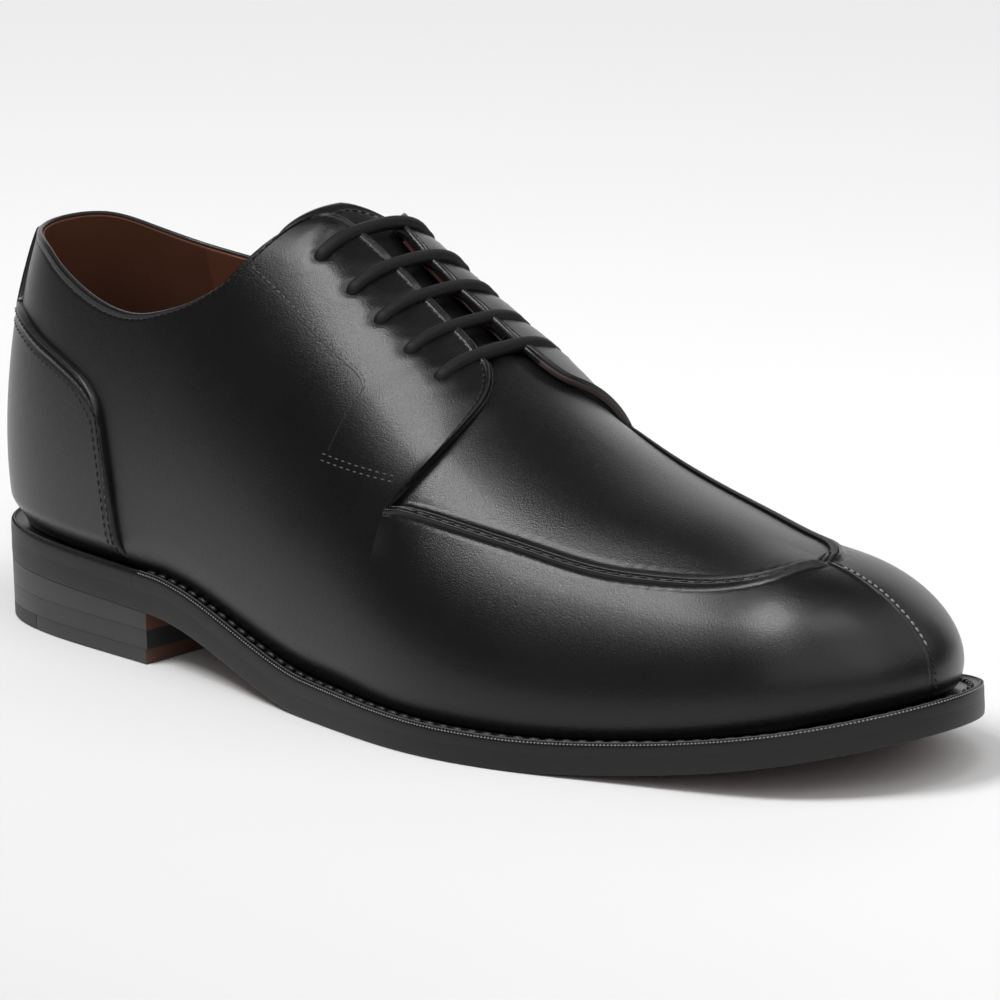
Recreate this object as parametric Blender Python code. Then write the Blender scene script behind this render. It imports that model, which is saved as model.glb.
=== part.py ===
"""Moc toe derby shoe for the right foot, every piece built over one last form.

Tables are in millimetres. x runs from the back of the heel to the toe, y from the outer (lateral)
side of the foot to the inner (medial) side, z up from the floor. A place on the last is given by a
station, counted from the back of the heel along one side to the tip of the toe, and by a rise, the
angle from the feather line (0) to the spine along the top of the foot (90).
"""
import math

import bmesh
import bpy
import numpy as np
from mathutils import Vector

MM = 0.001
GAP = 0.3
SHOE = "moc_toe_derby"

# The last: feather line, spine along the top, sole edge, swell of the wall and fullness, by station.
STATION_COLUMNS = ("feather_x", "lateral", "medial", "spine_x", "edge_lateral", "edge_medial",
                   "swell_lateral", "swell_medial", "swell_height", "fullness")
STATIONS = {
    "heel_back": (7.5, 0.0, 0.0, 40.0, 4.8, 4.8, 2.6, 2.6, 14.0, 1.75),
    "heel_corner": (14.2, 18.1, 18.6, 42.0, 4.2, 4.2, 2.6, 2.6, 14.0, 1.80),
    "heel_wide": (38.0, 28.3, 28.8, 45.0, 3.0, 3.0, 2.8, 2.8, 14.0, 2.10),
    "breast": (75.0, 32.5, 29.0, 75.0, 3.2, 2.5, 4.0, 6.5, 14.0, 2.40),
    "waist": (115.0, 38.0, 26.0, 115.0, 4.0, 2.5, 4.0, 11.5, 14.0, 2.45),
    "instep": (150.0, 43.8, 30.5, 150.0, 5.0, 4.0, 3.5, 11.5, 12.0, 2.50),
    "ball_rear": (180.0, 47.0, 39.0, 180.0, 6.0, 6.0, 3.0, 4.8, 9.0, 2.12),
    "ball": (207.0, 43.8, 43.5, 206.0, 6.5, 6.5, 2.5, 3.0, 7.0, 1.98),
    "ball_front": (232.0, 37.0, 41.5, 228.0, 6.5, 6.5, 2.2, 2.2, 6.0, 1.98),
    "toe_shoulder": (256.0, 29.7, 34.9, 245.0, 7.3, 7.4, 2.8, 3.2, 6.6, 2.12),
    "toe_corner": (277.2, 19.0, 25.0, 254.5, 8.0, 8.1, 4.4, 5.2, 7.4, 2.70),
    "toe_tip": (289.2, -3.5, 3.5, 258.5, 8.3, 8.3, 5.2, 5.2, 7.4, 2.80),
}
TOE = len(STATIONS) - 1
ROUND = 2 * TOE
# Height of the spine and its sideways place, by distance from the heel.
SPINE_HEIGHT = {0: 130.0, 40: 128.0, 80: 121.0, 100: 114.0, 120: 104.4, 140: 91.6, 160: 79.2, 180: 67.9,
                205: 57.8, 230: 51.7, 250: 48.0, 262: 46.2, 292: 37.0}
SPINE_SIDE = {30: 0.0, 75: 0.8, 115: 2.2, 165: 2.5, 180: 2.3, 207: 2.2, 232: 1.9, 262: 0.4}

# The sole: heel breast, where the arch lands, end of the flat tread, toe spring and edge heights.
BREAST_X = 74.0
LAND_X = 141.0
TREAD_END_X = 205.0
SPRING_END_X = 302.0
SPRING = 14.0
SPRING_POWER = 1.8
HEEL_BACK_HEIGHT = 14.8
HEEL_BREAST_HEIGHT = 12.6
OUTSOLE_FRONT = 4.3
OUTSOLE_HEEL = 5.2
EDGE_FRONT = 7.6
EDGE_HEEL = 9.8
EDGE_FADE_X = 115.0
EDGE_FADE_LENGTH = 80.0
WELT_SETBACK = 0.5
WELT_INSIDE = 5.0
WELT_END_X = 70.0
INSOLE_MIDDLE = 6.0
INSOLE_CLEAR = 0.5
INSOLE_LIFT = 0.1
INSOLE_RISE = 2.2

# The heel stack from the floor: top piece with its rubber tip, then two lifts.
TOP_PIECE = 3.6
LOWER_LIFT_TOP = 8.3
RUBBER_SPLIT_X = 28.0

# The upper: wall, lift of the flaps at slot and front edge, raised seam round the apron.
WALL = 1.6
SLOT_LIFT = 0.8
FLAP_LIFT = 1.4
SEAM_LIFT = 0.7
PANEL_ROWS = (0.0, 0.07, 0.18, 0.32, 0.47, 0.62, 0.76, 0.88, 0.945, 0.975, 1.0)
LINING_ROWS = (0.0, 0.12, 0.30, 0.48, 0.63, 0.76, 0.88, 1.0)
APRON_ROWS = (0.0, 0.05, 0.12, 0.28, 0.50, 0.75, 1.0)

# Pattern lines as rows of (station, rise).
COLLAR = {
    "lateral": ((0.0, 43.0), (0.8, 43.1), (1.5, 42.7), (1.90, 40.8), (2.33, 38.2), (2.66, 37.2), (2.94, 38.2),
                (3.20, 41.6), (3.43, 46.8), (3.62, 53.7), (3.72, 59.3), (3.80, 67.2), (3.86, 74.8), (3.92, 80.4),
                (4.00, 83.6), (4.10, 85.6)),
    "medial": ((0.0, 43.0), (0.7, 42.3), (1.25, 39.9), (1.66, 38.0), (1.96, 37.0), (2.30, 36.4), (2.62, 36.6),
               (2.94, 38.2), (3.20, 41.6), (3.44, 46.8), (3.66, 53.7), (3.79, 59.3), (3.90, 67.2), (3.98, 74.6),
               (4.05, 79.8), (4.12, 82.8), (4.22, 84.6)),
}
SLOT = {
    "lateral": ((4.10, 85.6), (4.60, 86.8), (5.18, 86.0)),
    "medial": ((4.22, 84.6), (4.36, 85.6), (4.60, 86.1), (5.18, 85.8)),
}
THROAT = {
    "lateral": ((5.18, 86.0), (5.39, 84.6)),
    "medial": ((5.18, 85.8), (5.46, 84.4)),
}
FLAP_FRONT = {
    "lateral": ((5.39, 84.6), (5.50, 82.0), (5.61, 77.1), (5.67, 70.0), (5.67, 60.0), (5.60, 50.0), (5.48, 40.5)),
    "medial": ((5.46, 84.4), (5.60, 82.5), (5.71, 78.5), (5.77, 71.0), (5.80, 63.0), (5.78, 56.0), (5.72, 51.0)),
}
APRON = {
    "lateral": ((5.50, 40.4), (5.90, 44.3), (6.50, 47.4), (7.00, 48.6), (7.52, 49.3), (8.00, 51.3), (8.50, 54.5),
                (8.90, 58.5), (9.30, 64.4), (9.71, 73.2), (10.10, 80.8), (10.60, 84.8), (11.0, 86.3)),
    "medial": ((5.72, 51.0), (6.10, 59.6), (6.60, 64.8), (7.00, 66.6), (7.50, 67.7), (8.00, 68.4), (8.50, 69.8),
               (9.00, 72.6), (9.40, 76.2), (9.80, 80.2), (10.20, 83.4), (10.60, 85.4), (11.0, 86.3)),
}
PANEL_STEPS = {"collar": 22, "slot": 6, "throat": 2, "flap_front": 7, "apron": 19}
FOOT_STATIONS = {"collar": 3.35, "slot": 4.20, "throat": 4.42, "flap_front": 5.25, "apron": 11.0}

# The counter over the heel with its tail up the back seam, the tongue under the slot.
OVERLAY = 0.9
COUNTER_FOOT = 0.7
COUNTER_FRONT = {1: 2.77, 7: 2.76, 12: 2.735, 16.5: 2.69, 19: 2.66, 21: 2.63}
COUNTER_TOP = {0.0: 30.8, 0.8: 30.8, 1.2: 30.6, 1.55: 29.7, 1.86: 28.3, 2.06: 27.5, 2.23: 26.6, 2.44: 24.9, 2.56: 23.0,
               2.63: 20.8}
COUNTER_COLUMNS = (0.0, 0.25, 0.5, 0.66, 0.72, 0.78, 0.84, 0.92, 1.02, 1.18, 1.4, 1.7, 2.0, 2.23, 2.44, 2.56, 2.63)
TAIL_HALF = 0.66
TAIL_FLARE = 1.02
TAIL_RISE = 42.2
TONGUE_THICK = 1.5
TONGUE_DROP = 0.7
TONGUE_FRONT = 5.62
TONGUE_TOP = {
    "lateral": {0.0: 3.88, 0.15: 3.77, 0.35: 3.745, 0.65: 3.775, 1.0: 3.80},
    "medial": {0.0: 4.10, 0.30: 3.97, 0.60: 3.88, 0.85: 3.82, 1.0: 3.80},
}
TONGUE_EDGE = {0.0: 62.0, 0.25: 57.0, 0.70: 60.0, 1.0: 68.0}

# Straight bar lacing: five bars of round cord through punched holes.
HOLE_STATIONS = (4.11, 4.41, 4.68, 4.98, 5.28)
HOLE_LIFTS = (0.8, 0.8, 0.8, 1.0, 1.6)
HOLE_RISE = {"lateral": 72.1, "medial": 68.5}
HOLE_RADIUS = 2.1
HOLE_SIDES = 12
HOLE_DEPTH = 10.0
CORD_RADIUS = 1.7
CORD_BEND = 2.1
CORD_TAIL = 0.3


def closed_spline(values):
    """Smooth closed curve through values at 0, 1, 2 and so on, as a function."""
    v = np.asarray(values, float)
    count = len(v)
    eye = np.eye(count)
    system = 4.0 * eye + np.roll(eye, 1, 0) + np.roll(eye, -1, 0)
    bend = np.linalg.solve(system, 6.0 * (np.roll(v, -1) - 2.0 * v + np.roll(v, 1)))

    def curve(place):
        whole = np.floor(np.asarray(place, float))
        t = np.asarray(place, float) - whole
        i = whole.astype(int) % count
        j = (i + 1) % count
        bow = bend[i] * ((1 - t) ** 3 - (1 - t)) + bend[j] * (t ** 3 - t)
        return bow / 6.0 + v[i] * (1 - t) + v[j] * t
    return curve


def open_spline(places, values):
    """Natural cubic curve through values at the given places, held level outside them."""
    x = np.asarray(places, float)
    v = np.asarray(values, float)
    span = np.diff(x)
    count = len(x)
    system = np.eye(count)
    load = np.zeros(count)
    for i in range(1, count - 1):
        system[i, i - 1:i + 2] = span[i - 1], 2.0 * (span[i - 1] + span[i]), span[i]
        load[i] = 6.0 * ((v[i + 1] - v[i]) / span[i] - (v[i] - v[i - 1]) / span[i - 1])
    bend = np.linalg.solve(system, load)

    def curve(place):
        q = np.clip(np.asarray(place, float), x[0], x[-1])
        i = np.clip(np.searchsorted(x, q) - 1, 0, count - 2)
        before = x[i + 1] - q
        after = q - x[i]
        bow = (bend[i] * before ** 3 + bend[i + 1] * after ** 3) / (6.0 * span[i])
        rise = (v[i] / span[i] - bend[i] * span[i] / 6.0) * before
        return bow + rise + (v[i + 1] / span[i] - bend[i + 1] * span[i] / 6.0) * after
    return curve


def table_curve(table):
    """Curve through a table of place: value."""
    return open_spline(list(table.keys()), list(table.values()))


def station_curve(lateral_column, medial_column, lateral_sign=1.0):
    """Closed curve round the shoe from a lateral and a medial column of the station table."""
    lateral_index = STATION_COLUMNS.index(lateral_column)
    medial_index = STATION_COLUMNS.index(medial_column)
    rows = list(STATIONS.values())
    out = [lateral_sign * row[lateral_index] for row in rows]
    back = [row[medial_index] for row in rows[-2:0:-1]]
    return closed_spline(out + back)


feather_x = station_curve("feather_x", "feather_x")
feather_y = station_curve("lateral", "medial", lateral_sign=-1.0)
spine_x = station_curve("spine_x", "spine_x")
edge_reach = station_curve("edge_lateral", "edge_medial")
swell = station_curve("swell_lateral", "swell_medial")
swell_height = station_curve("swell_height", "swell_height")
fullness = station_curve("fullness", "fullness")
spine_height = table_curve(SPINE_HEIGHT)
spine_side = table_curve(SPINE_SIDE)


def smooth(t):
    """Ease from 0 to 1 with level ends."""
    t = np.clip(t, 0.0, 1.0)
    return t * t * (3.0 - 2.0 * t)


def sole_bottom(x):
    """Underside of the outsole: pitched heel seat, arch, flat tread and toe spring."""
    x = np.asarray(x, float)
    seat = HEEL_BACK_HEIGHT + (HEEL_BREAST_HEIGHT - HEEL_BACK_HEIGHT) * x / BREAST_X
    arch = HEEL_BREAST_HEIGHT * (1.0 - smooth((x - BREAST_X) / (LAND_X - BREAST_X)))
    spring = SPRING * np.clip((x - TREAD_END_X) / (SPRING_END_X - TREAD_END_X), 0.0, None) ** SPRING_POWER
    return np.where(x < BREAST_X, seat, arch) + spring


def heel_seat(x):
    """Top of the heel stack, a gap below the outsole."""
    return sole_bottom(x) - GAP


def edge_share(x):
    """0 at the heel, 1 in the forefoot."""
    return smooth((np.asarray(x, float) - EDGE_FADE_X) / EDGE_FADE_LENGTH)


def outsole_top(x):
    """Top of the outsole, thicker at the heel."""
    return sole_bottom(x) + OUTSOLE_HEEL + (OUTSOLE_FRONT - OUTSOLE_HEEL) * edge_share(x)


def feather_z(x):
    """Height of the upper's lower edge, a gap above the welt."""
    return sole_bottom(x) + EDGE_HEEL + (EDGE_FRONT - EDGE_HEEL) * edge_share(x)


def outward(turn):
    """Level direction out of the feather line, at a turn round the shoe."""
    step = 1e-3
    dx = feather_x(turn + step) - feather_x(turn - step)
    dy = feather_y(turn + step) - feather_y(turn - step)
    length = np.hypot(dx, dy)
    return np.stack([dy / length, -dx / length, np.zeros_like(length)], -1)


def outline(turn, reach):
    """Plan outline a reach outside the feather line."""
    flat = np.stack([feather_x(turn), feather_y(turn), np.zeros_like(feather_x(turn))], -1)
    return flat + np.asarray(reach)[..., None] * outward(turn)


def last(turn, angle):
    """Point of the last at a turn round the shoe and an angle in radians up to the spine."""
    foot_x = feather_x(turn)
    foot_y = feather_y(turn)
    top_x = spine_x(turn)
    top_y = spine_side(top_x)
    reach = np.clip(np.cos(angle), 0.0, None) ** (2.0 / fullness(turn))
    x = top_x + (foot_x - top_x) * reach
    y = top_y + (foot_y - top_y) * reach
    foot_z = feather_z(foot_x)
    z = foot_z + (spine_height(x) - foot_z) * np.sin(angle)
    out = swell(turn) * (1.0 - np.exp((foot_z - z) / swell_height(turn))) * reach
    return np.stack([x, y, z], -1) + out[..., None] * outward(turn)


def spine_normal(x):
    """Direction out of the last on its spine."""
    slope = (spine_height(x + 0.5) - spine_height(x - 0.5))
    upright = np.stack([-slope, np.zeros_like(slope), np.ones_like(slope)], -1)
    return upright / np.linalg.norm(upright, axis=-1, keepdims=True)


def last_normal(turn, angle):
    """Direction straight out of the last; level along the feather line, square to the spine on top."""
    step = 1e-3
    inner = np.clip(angle, 2e-3, math.pi / 2 - 2e-3)
    along = last(turn + step, inner) - last(turn - step, inner)
    up = last(turn, inner + step) - last(turn, inner - step)
    square = np.cross(along, up)
    square = square / np.linalg.norm(square, axis=-1, keepdims=True)
    low = smooth(angle / math.radians(6.0))[..., None]
    high = smooth((angle - math.radians(84.0)) / math.radians(6.0))[..., None]
    mixed = (outward(turn) * (1.0 - low) + square * low) * (1.0 - high) + spine_normal(spine_x(turn)) * high
    return mixed / np.linalg.norm(mixed, axis=-1, keepdims=True)


def over_last(side, station, rise, offset):
    """Point an offset outside the last, on one side of the shoe; its lower edge stays on the welt."""
    station, rise, offset = np.broadcast_arrays(np.asarray(station, float), rise, offset)
    turn = station if side == "lateral" else ROUND - station
    angle = np.radians(rise)
    points = last(turn, angle) + offset[..., None] * last_normal(turn, angle)
    seat = feather_z(points[..., 0]) - feather_z(feather_x(turn))
    points[..., 2] += seat * (1.0 - smooth(angle / math.radians(6.0)))
    return points


def walk(side, rows, steps):
    """Stations and rises at even lengths along a pattern line."""
    index = np.arange(len(rows))
    place = np.linspace(0.0, len(rows) - 1.0, 40 * len(rows))
    station = open_spline(index, [row[0] for row in rows])(place)
    rise = open_spline(index, [row[1] for row in rows])(place)
    points = over_last(side, station, rise, WALL)
    run = np.concatenate([[0.0], np.cumsum(np.linalg.norm(np.diff(points, axis=0), axis=1))])
    even = np.linspace(0.0, run[-1], steps + 1)
    return np.interp(even, run, station), np.interp(even, run, rise)


class Shell:
    """Grids of points that share edges, welded into one closed solid."""

    def __init__(self):
        self.points = []
        self.faces = []
        self.count = 0

    def add(self, points):
        """Keep points of any grid shape and return their numbers in that shape."""
        points = np.asarray(points, float)
        numbers = self.count + np.arange(points[..., 0].size).reshape(points.shape[:-1])
        self.points.append(points.reshape(-1, 3))
        self.count += points[..., 0].size
        return numbers

    def sheet(self, numbers):
        """Fill a grid of points with four sided faces."""
        corners = np.stack([numbers[:-1, :-1], numbers[1:, :-1], numbers[1:, 1:], numbers[:-1, 1:]], -1)
        self.faces.extend(corners.reshape(-1, 4).tolist())

    def band(self, first, second):
        """Fill the band between two lines of points."""
        self.sheet(np.stack([first, second], 0))

    def face(self, numbers):
        self.faces.append([int(number) for number in numbers])

    def build(self, name, material):
        """Weld the points, turn the faces outwards and make the object."""
        points = np.concatenate(self.points)
        keys, index, weld = np.unique(np.round(points, 4), axis=0, return_index=True, return_inverse=True)
        weld = weld.reshape(-1)
        faces = []
        for face in self.faces:
            corners = [int(weld[number]) for number in face]
            kept = [c for k, c in enumerate(corners) if c != corners[k - 1]]
            if len(set(kept)) > 2:
                faces.append(kept)
        mesh = bpy.data.meshes.new(name)
        mesh.from_pydata((points[index] * MM).tolist(), [], faces)
        work = bmesh.new()
        work.from_mesh(mesh)
        bmesh.ops.remove_doubles(work, verts=work.verts, dist=1e-6)
        bmesh.ops.recalc_face_normals(work, faces=work.faces)
        bmesh.ops.triangulate(work, faces=work.faces)
        work.to_mesh(mesh)
        work.free()
        return place_object(name, mesh, material)


def place_object(name, mesh, material):
    shoe = bpy.data.objects.new(name, mesh)
    mesh.materials.append(material)
    bpy.data.collections[SHOE].objects.link(shoe)
    return shoe


def make_material(name, color, roughness):
    material = bpy.data.materials.new(name)
    material.use_nodes = True
    shader = material.node_tree.nodes["Principled BSDF"]
    shader.inputs["Base Color"].default_value = (*color, 1.0)
    shader.inputs["Roughness"].default_value = roughness
    return material


def panel_columns(side):
    """Top line of a side panel, the foot of each column and the lifts along it."""
    lines = {"collar": COLLAR, "slot": SLOT, "throat": THROAT, "flap_front": FLAP_FRONT, "apron": APRON}
    station, rise, foot, part, share = [], [], [], [], []
    foot_start = 0.0
    for number, (name, table) in enumerate(lines.items()):
        steps = PANEL_STEPS[name]
        line_station, line_rise = walk(side, table[side], steps)
        first = 0 if number == 0 else 1
        t = np.linspace(0.0, 1.0, steps + 1)[first:]
        station.append(line_station[first:])
        rise.append(line_rise[first:])
        foot.append(foot_start + (FOOT_STATIONS[name] - foot_start) * t)
        part.append(np.full(len(t), number))
        share.append(t)
        foot_start = FOOT_STATIONS[name]
    part = np.concatenate(part)
    share = np.concatenate(share)
    flap = np.where(part == 0, SLOT_LIFT * smooth((share - 0.72) / 0.28), 0.0)
    flap = np.where(part == 1, SLOT_LIFT, flap)
    flap = np.where(part == 2, SLOT_LIFT + (FLAP_LIFT - SLOT_LIFT) * share, flap)
    flap = np.where(part == 3, FLAP_LIFT, flap)
    flap = np.where(part == 4, FLAP_LIFT * (1.0 - smooth(share / 0.16)), flap)
    seam = np.where(part == 4, SEAM_LIFT * smooth(share / 0.10), 0.0)
    return np.concatenate(station), np.concatenate(rise), np.concatenate(foot), part, flap, seam


def panel_grid(side, columns, rows, outside):
    """Grid of a side panel's outer face or of its lining face."""
    station, rise, foot, part, flap, seam = columns
    v = np.asarray(rows)[None, :]
    grid_station = foot[:, None] + (station - foot)[:, None] * v
    grid_rise = rise[:, None] * v
    if not outside:
        return over_last(side, grid_station, grid_rise, 0.0)
    broad = smooth((v - 0.30) / 0.70)
    narrow = smooth((v - 0.945) / 0.055)
    offset = WALL + np.maximum(flap[:, None] * broad, seam[:, None] * narrow)
    return over_last(side, grid_station, grid_rise, offset)


def apron_half(side, columns, spine_station, outside):
    """Grid of one half of the apron, from its edge on one side to the spine."""
    station, rise, foot, part, flap, seam = columns
    t = np.asarray(APRON_ROWS)[None, :]
    grid_station = station[:, None] + (spine_station - station)[:, None] * t
    grid_rise = rise[:, None] + (90.0 - rise)[:, None] * t
    if not outside:
        return over_last(side, grid_station, grid_rise, 0.0)
    edge = np.where(part == 4, np.maximum(flap, seam), 0.0)
    return over_last(side, grid_station, grid_rise, WALL + edge[:, None] * (1.0 - smooth(t / 0.12)))


def build_upper(material):
    """Quarters, flaps, side walls and apron as one hollow wall, open at collar, slot and sole."""
    shell = Shell()
    columns = {side: panel_columns(side) for side in ("lateral", "medial")}
    part = columns["lateral"][3]
    slot_end = int(np.flatnonzero(part == 1)[-1])
    apron_columns = {side: tuple(c[slot_end:] for c in columns[side]) for side in columns}
    spine_station = (apron_columns["lateral"][0] + apron_columns["medial"][0]) / 2.0
    for side in ("lateral", "medial"):
        outer = shell.add(panel_grid(side, columns[side], PANEL_ROWS, True))
        inner = shell.add(panel_grid(side, columns[side], LINING_ROWS, False))
        apron_outer = shell.add(apron_half(side, apron_columns[side], spine_station, True))
        apron_inner = shell.add(apron_half(side, apron_columns[side], spine_station, False))
        for grid in (outer, inner, apron_outer, apron_inner):
            shell.sheet(grid)
        shell.band(outer[:, 0], inner[:, 0])
        shell.band(outer[:slot_end, -1], inner[:slot_end, -1])
        shell.face([outer[slot_end - 1, -1], outer[slot_end, -1], apron_outer[0, 0], inner[slot_end, -1],
                    inner[slot_end - 1, -1]])
        shell.band(outer[slot_end:, -1], apron_outer[:, 0])
        shell.band(apron_outer[0], apron_inner[0])
    return shell.build("upper", material)


def patch_solid(name, points_inside, points_outside, material):
    """Solid between two grids of the same shape."""
    shell = Shell()
    inside = shell.add(points_inside)
    outside = shell.add(points_outside)
    shell.sheet(inside)
    shell.sheet(outside)
    for edge in (np.s_[0, :], np.s_[-1, :], np.s_[:, 0], np.s_[:, -1]):
        shell.band(inside[edge], outside[edge])
    return shell.build(name, material)


def both_sides(station, rise, offset):
    """Points over the last where a negative station is on the medial side."""
    lateral = over_last("lateral", np.abs(station), rise, offset)
    medial = over_last("medial", np.abs(station), rise, offset)
    return np.where((station < 0.0)[..., None], medial, lateral)


def build_counter(material):
    """Counter wrapped round the heel over the quarters, with a tail up the back seam to the collar."""
    half = np.asarray(COUNTER_COLUMNS)
    across = np.concatenate([-half[:0:-1], half])[:, None]
    up = np.linspace(0.0, 1.0, 8)[None, :]
    corner_rise = max(COUNTER_FRONT)
    lean = table_curve(COUNTER_FRONT)(up * corner_rise) - COUNTER_FRONT[corner_rise]
    station = across + lean * (across / half[-1]) ** 3
    body = table_curve(COUNTER_TOP)(np.abs(across))
    tail = smooth((TAIL_FLARE - np.abs(across)) / (TAIL_FLARE - TAIL_HALF))
    top = body + (TAIL_RISE - body) * tail
    rise = COUNTER_FOOT + (top - COUNTER_FOOT) * up
    inside = both_sides(station, rise, WALL + GAP)
    outside = both_sides(station, rise, WALL + GAP + OVERLAY)
    return patch_solid("counter", inside, outside, material)


def build_tongue(material):
    """Tongue under the slot with a rounded top, tucked beneath the back of the apron."""
    along = np.linspace(0.0, 1.0, 15)[:, None]
    across = np.linspace(0.0, 1.0, 8)[None, :]
    edge = table_curve(TONGUE_EDGE)(along)
    rise = edge + (90.0 - edge) * across
    halves = {}
    for side in ("lateral", "medial"):
        top = table_curve(TONGUE_TOP[side])(across)
        station = top + (TONGUE_FRONT - top) * along
        for name, offset in (("top", -TONGUE_DROP), ("under", -TONGUE_DROP - TONGUE_THICK)):
            halves[side, name] = over_last(side, station, rise, offset)
    top = np.concatenate([halves["lateral", "top"], halves["medial", "top"][:, -2::-1]], 1)
    under = np.concatenate([halves["lateral", "under"], halves["medial", "under"][:, -2::-1]], 1)
    return patch_solid("tongue", under, top, material)


def side_lines(setback):
    """Lateral and medial edge of the sole as functions of x, with the ends of x."""
    turn = np.linspace(-3.0, ROUND - 3.0, 6000)
    edge = outline(turn, edge_reach(turn) - setback)
    back = int(np.argmin(edge[:, 0]))
    tip = int(np.argmax(edge[:, 0]))
    lateral = edge[back:tip + 1]
    medial = np.concatenate([edge[tip:], edge[:back + 1]])[::-1]

    def at(x):
        lateral_y = np.interp(x, lateral[:, 0], lateral[:, 1])
        medial_y = np.interp(x, medial[:, 0], medial[:, 1])
        return lateral_y, medial_y
    return at, edge[back, 0], edge[tip, 0]


def build_plate(name, setback, start_x, end_x, bottom, top, steps, material):
    """Layer of the sole between two heights, cut off at two distances from the heel."""
    at, back_x, tip_x = side_lines(setback)
    first = max(start_x, back_x)
    final = min(end_x, tip_x)
    ease_in = first == back_x
    ease_out = final == tip_x
    t = np.linspace(0.0, 1.0, steps + 1)
    if ease_in and ease_out:
        t = (1.0 - np.cos(math.pi * t)) / 2.0
    elif ease_in:
        t = 1.0 - np.cos(math.pi * t / 2.0)
    x = first + (final - first) * t
    lateral_y, medial_y = at(x)
    shell = Shell()
    rings = []
    for height in (bottom, top):
        rings.append(shell.add(np.stack([np.stack([x, lateral_y, height(x)], -1),
                                         np.stack([x, medial_y, height(x)], -1)], 1)))
    low, high = rings
    shell.sheet(low)
    shell.sheet(high)
    shell.band(low[:, 0], high[:, 0])
    shell.band(low[:, 1], high[:, 1])
    shell.band(low[0], high[0])
    shell.band(low[-1], high[-1])
    return shell.build(name, material)


def build_rim(name, first_turn, last_turn, steps, material):
    """Welt or rand: a strip on the outsole that runs part of the way round."""
    turn = np.linspace(first_turn, last_turn, steps + 1)
    inner = outline(turn, np.full_like(turn, -WELT_INSIDE))
    outer = outline(turn, edge_reach(turn) - WELT_SETBACK)
    shell = Shell()
    lines = []
    for plan, height in ((inner, 0), (outer, 0), (outer, 1), (inner, 1)):
        points = plan.copy()
        points[:, 2] = feather_z(points[:, 0]) - GAP if height else outsole_top(points[:, 0]) + GAP
        lines.append(shell.add(points))
    for k in range(4):
        shell.band(lines[k - 1], lines[k])
    shell.face([line[0] for line in lines])
    shell.face([line[-1] for line in lines])
    return shell.build(name, material)


def build_insole(material):
    """Insole inside the upper: a middle down on the outsole and a rim resting over the welt."""
    half = TOE * (1.0 - np.cos(np.linspace(0.0, math.pi, 37))) / 2.0
    turn = np.concatenate([half, ROUND - half[-2:0:-1]])
    shell = Shell()
    rings = []
    for reach, level in ((-INSOLE_MIDDLE, "low"), (-INSOLE_MIDDLE, "rim"), (-INSOLE_CLEAR, "rim"),
                         (-INSOLE_CLEAR, "top")):
        points = outline(turn, np.full_like(turn, reach))
        heights = {"low": outsole_top(points[:, 0]) + GAP, "rim": feather_z(points[:, 0]) + INSOLE_LIFT,
                   "top": feather_z(points[:, 0]) + INSOLE_RISE}
        points[:, 2] = heights[level]
        rings.append(shell.add(points))
    for low, high in zip(rings, rings[1:]):
        shell.band(np.append(low, low[0]), np.append(high, high[0]))
    middle = len(half)
    for ring in (rings[0], rings[-1]):
        shell.band(ring[:middle], np.concatenate([ring[:1], ring[middle - 1:][::-1]]))
    return shell.build("insole", material)


def breast_turn(reach_x):
    """Turn at which the lateral and the medial feather line reach a distance from the heel."""
    turn = np.linspace(1.0, 5.0, 4001)
    lateral = float(np.interp(reach_x, feather_x(turn), turn))
    return lateral, ROUND - lateral


def hole_frame(side, number):
    """Centre of a lace hole on the last and the direction out of it."""
    station = HOLE_STATIONS[number]
    foot = over_last(side, station, HOLE_RISE[side], 0.0)
    ahead = over_last(side, station, HOLE_RISE[side], 1.0)
    return foot, ahead - foot


def cut_holes(upper):
    """Punch the ten lace holes through the facings."""
    work = bmesh.new()
    for side in ("lateral", "medial"):
        for number in range(len(HOLE_STATIONS)):
            foot, out = hole_frame(side, number)
            shell = bmesh.ops.create_cone(work, cap_ends=True, segments=HOLE_SIDES, radius1=HOLE_RADIUS * MM,
                                          radius2=HOLE_RADIUS * MM, depth=HOLE_DEPTH * MM)
            turn = Vector((0.0, 0.0, 1.0)).rotation_difference(Vector(out))
            bmesh.ops.rotate(work, verts=shell["verts"], cent=(0.0, 0.0, 0.0), matrix=turn.to_matrix())
            bmesh.ops.translate(work, verts=shell["verts"], vec=Vector((foot + out) * MM))
    mesh = bpy.data.meshes.new("lace_hole_cutter")
    work.to_mesh(mesh)
    work.free()
    cutter = bpy.data.objects.new("lace_hole_cutter", mesh)
    cutter.display_type = "WIRE"
    cutter.hide_render = True
    bpy.data.collections["cutters"].objects.link(cutter)
    punch = upper.modifiers.new("lace holes", "BOOLEAN")
    punch.operation = "DIFFERENCE"
    punch.solver = "EXACT"
    punch.object = cutter


def lace_path(number):
    """Line of one lace bar: out of a hole, over the slot and into the hole across it."""
    face = WALL + HOLE_LIFTS[number]
    level = face + CORD_BEND
    sides = {}
    for side in ("lateral", "medial"):
        foot, out = hole_frame(side, number)
        station = HOLE_STATIONS[number]
        inward = over_last(side, station, HOLE_RISE[side] + 1.0, level) - (foot + level * out)
        inward = inward / np.linalg.norm(inward)
        rise = [foot + CORD_TAIL * out]
        for turn in np.linspace(0.0, math.pi / 2, 4):
            up = face + CORD_BEND * math.sin(turn)
            rise.append(foot + up * out + CORD_BEND * (1.0 - math.cos(turn)) * inward)
        for angle in (77.0, 83.5):
            rise.append(over_last(side, station, angle, level))
        sides[side] = rise
    middle = over_last("lateral", HOLE_STATIONS[number], 90.0, level)
    return sides["lateral"] + [middle] + sides["medial"][::-1]


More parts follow.
